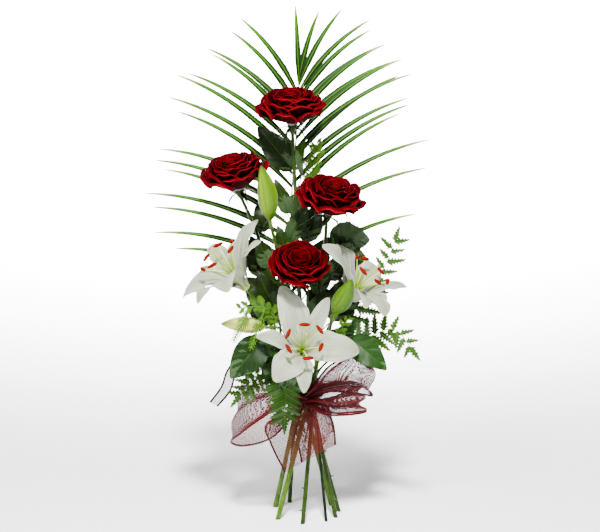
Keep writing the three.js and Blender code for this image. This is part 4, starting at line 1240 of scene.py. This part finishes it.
# %%
FERNS = {
    "high_right": {
        "via": [(36, 10, 250), (84, 32, 310), (112, 36, 352), (128, 32, 396)],
        "low": 0.56, "reach": 34, "facing": (0.1, -1, 0.1),
    },
    "low_right": {
        "via": [(34, -8, 228), (86, -34, 268), (124, -48, 284), (148, -56, 258)],
        "low": 0.56, "reach": 34, "facing": (0, -1, 0.3),
    },
    "left": {
        "via": [(-34, -2, 222), (-62, -40, 222), (-92, -58, 190)],
        "low": 0.56, "reach": 32, "facing": (0, -1, 0.4),
    },
    "front": {
        "via": [(-25, -22, 216), (-26, -50, 206), (-28, -64, 158)],
        "low": 0.6, "reach": 34, "facing": (0, -1, 0.2),
    },
}
PINNA_PAIRS = 9
LOBE_PITCH = 5
ROWS_PER_LOBE, PINNA_COLUMNS = 8, 6


def pinna(bm, root, way, facing, length, seed):
    """A fern's side branch: it tapers to its tip, and its blunt teeth lean forwards."""
    across = way.cross(facing).normalized()
    lobes = max(4, round(length / LOBE_PITCH))

    def surface(u, v):
        shift = 0.5 if v > 0 else 0
        phase = (u * lobes + shift) % 1
        lobe = math.sin(math.pi * phase / 0.86) ** 0.5 if phase < 0.86 else 0
        size = length * 0.24 * (1 - u) ** 0.7 * (0.85 + 0.3 * draw(seed + int(u * lobes + shift)))
        half = (0.4 + size * (0.5 + 0.5 * lobe)) * min(1, 12 * u + 0.1)
        forwards = 0.5 * half * abs(v)
        cup = 0.25 * half * abs(v) + 0.14 * length * u * u
        return root + way * (u * length + forwards) + across * v * half - facing * cup

    grid = (lobes * ROWS_PER_LOBE, PINNA_COLUMNS)
    blade(bm, surface, grid, PINNA, 0.4 + 0.5 * draw(seed + 31))
    stalk = [root + way * k / 8 * length - facing * 0.14 * length * (k / 8) ** 2 for k in range(9)]
    tube(bm, stalk, taper(0.6, 0.3), 5, STALK)


def fern(name, spec, seed):
    bm = blank()
    rib = stem_path(f"fern_{name}", TAIL, spec["via"])
    tube(bm, rib, taper(SPRAY_STEM, 0.5), 8, STALK)
    facing = Vector(spec["facing"]).normalized()
    for k in range(PINNA_PAIRS):
        share = k / PINNA_PAIRS
        for side in SIDES:
            point, heading = along(rib, mix(spec["low"], 1, share) + (0.03 if side > 0 else 0))
            across = heading.cross(facing).normalized()
            lift = facing * 0.9 * (draw(seed + 7 * k + side) - 0.5)
            way = (heading * 0.55 + across * side + lift).normalized()
            length = spec["reach"] * 1.1 * (1 - 0.5 * share) * (0.85 + 0.3 * draw(seed + 5 * k - side))
            pinna(bm, point, way, facing, length, seed + 10 * k + side)
    point, heading = along(rib, 0.985)
    pinna(bm, point, heading, facing, spec["reach"] * 0.7, seed + 99)
    return piece(f"fern_{name}_frond", bm, FERN_GREEN, f"fern_{name}", "fern_leaf")


for i, (name, spec) in enumerate(FERNS.items()):
    fern(name, spec, 200 * i)
print("ferns:", len(FERNS))

# %% [markdown]
# ## Cedar sprigs
#
# Cedar has no flat leaves: green scales overlap along every twig like beads, and twigs fork in a
# flat spray. So a twig is one thin tube whose girth swells at each scale, with shorter ones to both
# sides. Its green is blotched and finely streaked, in the sprig's own metres.

# %%
def cedar_scales():
    material, tree, uv, u, v = start("cedar scale leaf")
    place = add(tree, "TexCoord", out="Object")
    fine = streaks(tree, place, (900, 900, 40))
    blotches = streaks(tree, place, (1, 1, 0.5), 60.0, 3.0)
    blotches = add(tree, "Math", [blotches, 0.6], operation="MULTIPLY")
    both = add(tree, "Math", [fine, 0.35, blotches], operation="MULTIPLY_ADD")
    green = add(tree, "ValToRGB", [both], stops=[(0.25, "#133801"), (0.7, "#4e760b")])
    finish_surface(tree, green, 0.6, fine)
    return material


CEDAR_GREEN = cedar_scales()

# %%
CEDARS = {
    "left": {
        "via": [(-18, -8, 240), (-30, -36, 276), (-55, -60, 318), (-92, -78, 322)],
        "low": 0.68, "reach": 26,
        "hanging": [((-55, -60, 317), (-76, -82, 262)), ((-75, -70, 321), (-100, -86, 274))],
    },
    "right": {
        "via": [(10, -34, 222), (34, -64, 268), (62, -84, 312)],
        "low": 0.62, "reach": 20,
    },
    "tall": {
        "via": [(4, 14, 300), (4, 36, 440), (16, 38, 530)],
        "low": 0.86, "reach": 24,
    },
}
SCALE_PITCH = 1.6
SPRAY_PAIRS = 8  # sprays to each side of a sprig's stem
TWIG_PAIRS, HANGING_PAIRS = 5, 10  # and twigs to each side of a spray


def beaded(bm, foot, tip, girth):
    """A twig of overlapping scales."""
    length = (tip - foot).length
    rows = max(6, round(length / SCALE_PITCH) * 3)

    def swell(t):
        phase = (t * length / SCALE_PITCH) % 1
        return girth * (0.65 + 0.45 * (1 - phase)) * (1 - 0.5 * t**3)

    tube(bm, [foot.lerp(tip, k / rows) for k in range(rows + 1)], swell, 6)


def spray(bm, foot, tip, pairs, seed):
    """A twig with pairs of shorter ones along it."""
    beaded(bm, foot, tip, 1.1)
    way, length = (tip - foot).normalized(), (tip - foot).length
    for j in range(pairs):
        root = foot + way * length * (0.2 + 0.75 * j / pairs)
        for side in SIDES:
            out = (way + way.cross(FRONT).normalized() * 0.8 * side).normalized()
            out = (out + FRONT * 0.3 * (draw(seed + j + side) - 0.5)).normalized()
            beaded(bm, root, root + out * min(length, 34) * (0.42 - 0.275 * j / pairs), 0.95)


def cedar(name, spec):
    bm = blank()
    stem = stem_path(f"cedar_{name}", TAIL, spec["via"])
    tube(bm, stem, taper(SPRAY_STEM, 0.7), 8, STALK)
    for k in range(SPRAY_PAIRS):
        share = k / SPRAY_PAIRS
        for side in SIDES:
            point, heading = along(stem, mix(spec["low"], 1, share) + (0.02 if side > 0 else 0))
            across = heading.cross(FRONT).normalized()
            way = (heading + across * 0.8 * side).normalized()
            seed = k // 2 + (30 if side > 0 else 0)
            length = spec["reach"] * (1 - 0.55 * share) * (0.8 + 0.4 * draw(seed)) * (0.8 if k % 2 else 1)
            spray(bm, point, point + way * length, TWIG_PAIRS, seed)
    for foot, tip in spec.get("hanging", []):
        spray(bm, Vector(foot), Vector(tip), HANGING_PAIRS, 70)
    return piece(f"cedar_{name}_sprig", bm, CEDAR_GREEN, f"cedar_{name}", "cedar_leaf")


for name, spec in CEDARS.items():
    cedar(name, spec)
print("cedar sprigs:", len(CEDARS))

# %% [markdown]
# ## Broad-leaved branches
#
# Large dark leaves close the front of the bunch under the flowers. They use the same leaf as the
# roses do, in a green of their own: oval ones with a smooth edge at the left, toothed ones at the
# right.

# %%
BRANCHES = {
    "left": {
        "via": [(-30, -16, 222), (-48, -44, 244), (-56, -58, 258)],
        "leaves": [
            Leaf(254, (-57, -64, 277), (-103, -76, 222), 46, (0, -1, 0.2), "oval"),
            Leaf(236, (-40, -50, 252), (-56, -66, 224), 24, (0, -1, 0.4), "oval"),
            Leaf(232, (-34, -40, 246), (-22, -48, 190), 40, (0, -1, 0.3), "oval"),
        ],
    },
    "right": {
        "via": [(22, -32, 224), (50, -56, 262)],
        "leaves": [
            Leaf(256, (62, -62, 276), (112, -82, 236), 42, (0, -1, 0.4)),
            Leaf(240, (44, -52, 270), (74, -60, 300), 24, (0, -1, 0.3)),
        ],
    },
}


def branch(name, spec, shade):
    bm = blank()
    stem = stem_path(f"foliage_{name}", TAIL, spec["via"])
    tube(bm, stem, taper(BRANCH_STEM, 1.2), 8, STALK)
    for one in spec["leaves"]:
        leaf(bm, stem, one, shade)
    return piece(f"foliage_{name}_leaves", bm, BROAD_GREEN, f"foliage_{name}", "broad_leaf")


branch("left", BRANCHES["left"], 0.35)
branch("right", BRANCHES["right"], 0.95)
print("broad leaves:", sum(len(spec["leaves"]) for spec in BRANCHES.values()))

# %% [markdown]
# ## Twine
#
# The stems are held by three turns of twisted fibre twine, hidden under the ribbon. One tube along a
# helix makes the turns, and a wave across its UVs makes the twist of its strands.

# %%
TWINE = 1.4
TWINE_TURNS, STEPS_PER_TURN = 3, 48


def twisted_twine():
    material, tree, uv, u, v = start("twisted twine")
    drawn = add(tree, "Mapping", {"Vector": uv, "Scale": (3, 90, 1)})
    strands = add(tree, "TexWave", {"Vector": drawn, "Scale": 1.0, "Distortion": 2.0}, "Fac")
    colour = add(tree, "Mix", {0: strands, 6: "#5c4526", 7: "#a98b58"}, **MIX)
    finish_surface(tree, colour, 0.85, strands, 0.0003)
    return material


def twine():
    bm = blank()
    middle = TIE_INSIDE + TWINE / 2
    steps = TWINE_TURNS * STEPS_PER_TURN
    path = []
    for k in range(steps + 1):
        angle = 2 * math.pi * k / STEPS_PER_TURN
        height = TIE_HEIGHT - TIE_BAND / 2 + 2 + (TIE_BAND - 4) * k / steps
        path.append(Vector((middle * math.cos(angle), middle * math.sin(angle), height)))
    tube(bm, path, lambda t: TWINE / 2, 8)
    return piece("tie_twine_turns", bm, twisted_twine(), "tie_twine", "twine")


twine()
print("twine:", TWINE_TURNS, "turns")

# %% [markdown]
# ## Ribbon
#
# The bow is florist's mesh ribbon: an open burgundy net with a wire in each edge, pulled together at
# the knot. A see-through texture would lose its threads from the side, so the net is real: a grid
# bent along the ribbon's path, whose edges bmesh's wireframe turns into threads. Their number stays
# the same all along, so the net is denser where it is gathered. The thin tail at the left is a paler
# ribbon with dark edges.

# %%
def plain(name, hexed, rough, spread, share):
    """One colour, broken up a little towards a second one."""
    material, tree, uv, u, v = start(name)
    place = add(tree, "TexCoord", out="Object")
    grain = add(tree, "TexNoise", {"Vector": place, "Scale": 240.0, "Detail": 3.0})
    finish_surface(tree, tinted(tree, hexed, spread, grain, share), rough)
    return material


RIBBON_THREAD = plain("burgundy mesh thread", "#4e0108", 0.5, "#200104", 0.5)
RIBBON_WIRE = plain("wired ribbon edge", "#300206", 0.45, "#160103", 0.5)
ORGANZA = plain("pale organza thread", "#8e8688", 0.5, "#686264", 0.3)
ORGANZA_EDGE = plain("dark organza edge", "#1c1618", 0.5, "#0c0a0a", 0.3)

# %%
RIBBON_WIDTH = 88  # flat width of the mesh ribbon
NARROW_WIDTH = 60  # and of its two loops at the right
CELL = 1.8  # from thread to thread, coarser than the real net, whose threads wouldn't show
THREAD = 0.8
WIRE = 1.4  # girth of an edge's wire with the net folded round it
DEEPEST_PLEAT = 8
SPINE_RUNS, WIRE_RUNS = 60, 90
SLIP = (0.25, 0.5)  # how far a thread strays along and across, as a share of a cell

# line is the path of the ribbon's middle, half its half width there, and folds its pleats. back
# curves its edges backwards, and cut is how much shorter one edge ends than the other.
RUNS = {
    "loop_left": {
        "line": [(-2, -25, 176), (-42, -42, 166), (-82, -38, 156), (-99, -12, 152), (-84, 16, 156),
                 (-42, 22, 168), (-18.6, 7, 172)],
        "half": [(0, 0, 5), (0, 2, 38), (3, 0, 44), (8, 0, 42), (4, 0, 40), (0, 0, 22), (0, 0, 4)],
        "folds": 2,
    },
    "loop_right": {
        "line": [(2, -25, 180), (32, -34, 206), (70, -30, 212), (94, -10, 202), (80, 14, 206),
                 (44, 22, 194), (18.6, 7, 174)],
        "half": [(0, 0, 5), (0, 0, 18), (-2, 0, 27), (-6, 0, 24), (-4, 0, 25), (0, 0, 15), (0, 0, 4)],
        "folds": 1, "width": NARROW_WIDTH,
    },
    "loop_low": {
        "line": [(4, -26, 174), (30, -46, 180), (58, -52, 184), (80, -44, 182), (66, -30, 176),
                 (38, -27, 170), (15.5, -12.5, 168)],
        "half": [(0, 0, 5), (0, 0, 18), (0, 0, 21), (-2, 0, 18), (0, 0, 17), (0, 0, 11), (0, 0, 4)],
        "folds": 2, "width": NARROW_WIDTH,
    },
    "tail_front": {
        "line": [(0, -26, 170), (-9, -42, 150), (-3, -50, 122), (7, -52, 86)],
        "half": [(6, 0, 0), (44, 0, 5), (45, 0, 5), (35, 0, 11)],
        "folds": 3, "back": 12, "cut": 0.2,
    },
    "tail_back": {
        "line": [(4, 19.4, 172), (10, 36, 150), (14, 46, 110), (20, 52, 62)],
        "half": [(5, 0, 0), (22, 0, 3), (26, 0, 4), (24, 0, 8)],
        "folds": 2, "cut": 0.25,
    },
    "tail_left": {
        "line": [(-13.6, 14, 176), (-50, 24, 212), (-88, 20, 230), (-104, 17, 206), (-113, 15, 180),
                 (-130, 12, 158)],
        "half": [(1, 0, 4), (1, 0, 6), (4, 0, 5), (6, 0, -1), (6, 0, -3), (5, 0, -3)],
        "folds": 1, "width": 12,
    },
}


def ribbon_surface(run):
    """A ribbon's stretch: its width lies along the half-width vectors, in soft pleats."""
    line, lie = smooth(run["line"]), smooth(run["half"], centripetal=False)
    folds, back = run["folds"], run.get("back", 0)
    flat, cut = run.get("width", RIBBON_WIDTH), run.get("cut", 0)

    def surface(u, v):
        u *= 1 - cut * (v + 1) / 2
        middle, half = line(u), lie(u)
        heading = line(min(1, u + 0.01)) - line(max(0, u - 0.01))
        out = heading.cross(half).normalized()
        slack = max(1, flat / (2 * half.length)) ** 2 - 1
        depth = min(DEEPEST_PLEAT, math.sqrt(2 * slack) * half.length / (math.pi * folds))
        pleat = depth * math.sin(math.pi * folds * v + 1.3 * math.sin(5 * u))
        return middle + half * v + Vector((0, back * v * v * u, 0)) + out * pleat

    return surface

# %% [markdown]
# ## Net and wires
#
# Each run of ribbon is a net and its two wires. The flat size that the net was cut to is printed with it.

# %%
def net(name, run, thread, edge):
    """One run of ribbon, in thread, with its wires in edge."""
    surface = ribbon_surface(run)
    spine = samples(smooth(run["line"]), SPINE_RUNS)
    length = sum((b - a).length for a, b in zip(spine, spine[1:]))
    width = run.get("width", RIBBON_WIDTH)
    rows, columns = round(length / CELL), round(width / CELL)
    bm = blank()
    bmesh.ops.create_grid(bm, x_segments=columns, y_segments=rows, size=1, calc_uvs=True)
    for k, vert in enumerate(bm.verts):
        u, v = (vert.co.y + 1) / 2, vert.co.x
        inside = (1 - abs(v)) * 8
        u += SLIP[0] / rows * (draw(k) - 0.5) * min(1, inside) * (0 < u < 1)
        v += SLIP[1] / columns * (draw(k + 0.5) - 0.5) * min(1, inside)
        vert.co = surface(u, v) * MM + AXIS
    bmesh.ops.wireframe(
        bm, faces=bm.faces[:], thickness=THREAD * MM, offset=0, use_replace=True, use_boundary=True,
        use_even_offset=False, use_relative_offset=False, use_crease=False, crease_weight=1,
        material_offset=0,
    )
    mesh_piece = piece(f"ribbon_{name}_mesh", bm, thread, "ribbon_bow", "ribbon_mesh")
    wires = blank()
    for v in SIDES:
        tube(wires, samples(lambda u, v=v: surface(u, v), WIRE_RUNS), lambda t: WIRE, 6)
    wire_piece = piece(f"ribbon_{name}_wires", wires, edge, "ribbon_bow", "ribbon_mesh")
    flat = (width * MM, length * MM)
    print("ribbon", name, "flat mm", [round(x / MM) for x in flat], "faces", len(mesh_piece.data.polygons))


for name, run in RUNS.items():
    pale = name == "tail_left"
    net(name, run, ORGANZA if pale else RIBBON_THREAD, ORGANZA_EDGE if pale else RIBBON_WIRE)

# %% [markdown]
# ## Band and knot
#
# The ribbon's tight turns hide the twine. They are a pleated ring whose creases wander up and down,
# and the knot in front is a ball with slanting creases.

# %%
BAND_GRID = (72, 30)
BAND_HALF, BAND_THICKNESS = 8, 0.35
KNOT = Vector((11, 5.5, 11))  # its half sizes


def ribbon_band():
    band = blank()
    rows, columns = BAND_GRID
    bmesh.ops.create_grid(band, x_segments=columns, y_segments=rows, size=1, calc_uvs=True)
    inside = TIE_INSIDE + TWINE + FIT
    for vert in band.verts:
        angle, height = math.pi * vert.co.y, BAND_HALF * vert.co.x
        pleat = 0.55 * math.sin(4.2 * math.pi * vert.co.x + 2 * math.sin(2 * angle))
        radius = inside + 1.0 + pleat
        vert.co = Vector((radius * math.cos(angle), radius * math.sin(angle), TIE_HEIGHT + height))
    bmesh.ops.remove_doubles(band, verts=band.verts[:], dist=WELD)
    bmesh.ops.solidify(band, geom=band.faces[:], thickness=BAND_THICKNESS)
    return band


def ribbon_knot():
    knot = blank()
    bmesh.ops.create_uvsphere(knot, u_segments=48, v_segments=24, radius=1)
    middle = Vector((1, -TIE_INSIDE - TWINE - FIT - 6, TIE_HEIGHT + 4))
    for vert in knot.verts:
        crease = 1 - 0.12 * math.sin(9 * vert.co.z + 3 * vert.co.x) ** 2
        vert.co = middle + KNOT * vert.co * crease
    return knot


def band_and_knot():
    bm = blank()
    pour(ribbon_band(), bm, 0.5)
    pour(ribbon_knot(), bm, 0.5)
    return piece("ribbon_band_and_knot", bm, RIBBON_WIRE, "ribbon_bow", "ribbon_mesh")


band_and_knot()
print("ribbon runs:", len(RUNS))

# %% [markdown]
# ## Floor
#
# A studio's paper sweep runs along the floor and curves up far behind the object, so no horizon
# shows. It starts to rise well behind the bunch, so that it also shows clean from the back. It is
# staging, not part of the bouquet.

# %%
FLOOR_HALF = 6.0
WALL_START = 3.4


def backdrop():
    """A pale floor that sweeps up far behind the bunch."""
    bm = bmesh.new()
    bmesh.ops.create_grid(bm, x_segments=2, y_segments=80, size=1)
    for vert in bm.verts:
        y = FLOOR_HALF * vert.co.y
        rise = max(0, y - WALL_START)
        depth = min(y, WALL_START + 2 * rise / (1 + rise))
        vert.co = Vector((FLOOR_HALF * vert.co.x, depth, 0.5 * rise**2))
    mesh = bpy.data.meshes.new("backdrop")
    bm.to_mesh(mesh)
    bm.free()
    mesh.polygons.foreach_set("use_smooth", [True] * len(mesh.polygons))
    material, tree, uv, u, v = start("matt white paper")
    finish_surface(tree, "#fcfcfc", 0.9)
    mesh.materials.append(material)
    obj = bpy.data.objects.new("backdrop", mesh)
    bpy.context.scene.collection.objects.link(obj)
    obj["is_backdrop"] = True


backdrop()

# %% [markdown]
# ## Light
#
# Plain soft studio light: a small lamp high above gives the petals their shade, a key and a weak fill
# model the front, and two more keep the paper white from wall to floor.

# %%
def soft_light(name, place, aim, size, power, spread=180):
    """A round lamp: places and size in metres, power in watts, spread in degrees."""
    data = bpy.data.lights.new(name, "AREA")
    data.shape = "DISK"
    data.size = size
    data.energy = power
    data.spread = math.radians(spread)
    lamp = bpy.data.objects.new(name, data)
    lamp.location = place
    lamp.rotation_euler = (Vector(aim) - Vector(place)).to_track_quat("-Z", "Y").to_euler()
    bpy.context.scene.collection.objects.link(lamp)
    lamp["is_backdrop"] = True


CENTRE = (0, 0, 0.36)
soft_light("key", (-1.1, -1.7, 1.9), CENTRE, 0.6, 70)
soft_light("fill", (1.5, -1.6, 1.6), CENTRE, 1.2, 16)
soft_light("top", (0.03, -1.35, 2.3), CENTRE, 0.35, 250)
soft_light("wall", (0, 1.0, 2.5), (0, 2.5, 0.1), 1.6, 380, 80)
soft_light("sweep", (0, 2.4, 2.8), (0, 4.4, 0.4), 2.4, 620, 110)

world = bpy.data.worlds.new("studio")
world.use_nodes = True
sky = world.node_tree.nodes["Background"]
sky.inputs["Color"].default_value = srgb("#ffffff")
sky.inputs["Strength"].default_value = 0.12
bpy.context.scene.world = world

# %% [markdown]
# ## Camera
#
# A long lens from far off, a little above the bunch, keeps its proportions as the eye sees them
# across a room.

# %%
CAMERA_AIM = Vector((-7, 0, 363.2))
CAMERA_DISTANCE = 3000
CAMERA_RISE = math.radians(13)
CAMERA_LENS, CAMERA_SENSOR = 128.57, 36
away = Vector((0, -math.cos(CAMERA_RISE), math.sin(CAMERA_RISE)))
data = bpy.data.cameras.new("camera")
data.lens = CAMERA_LENS
data.sensor_width = CAMERA_SENSOR
camera = bpy.data.objects.new("camera", data)
camera.location = (CAMERA_AIM + away * CAMERA_DISTANCE) * MM + AXIS
camera.rotation_euler = (-away).to_track_quat("-Z", "Y").to_euler()
bpy.context.scene.collection.objects.link(camera)
bpy.context.scene.camera = camera
print("camera at, m:", [round(x, 3) for x in camera.location])

# %% [markdown]
# ## Sizes
#
# The imported part's box and the visual model's box are printed side by side. The looks may not
# outgrow the imported part.

# %%
made_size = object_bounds()
boxes = {"cad": cad_size, "visual": made_size}
sizes = {key: [list(map(float, corner)) for corner in box] for key, box in boxes.items()}
print("CAD", sizes["cad"], "visual", sizes["visual"])
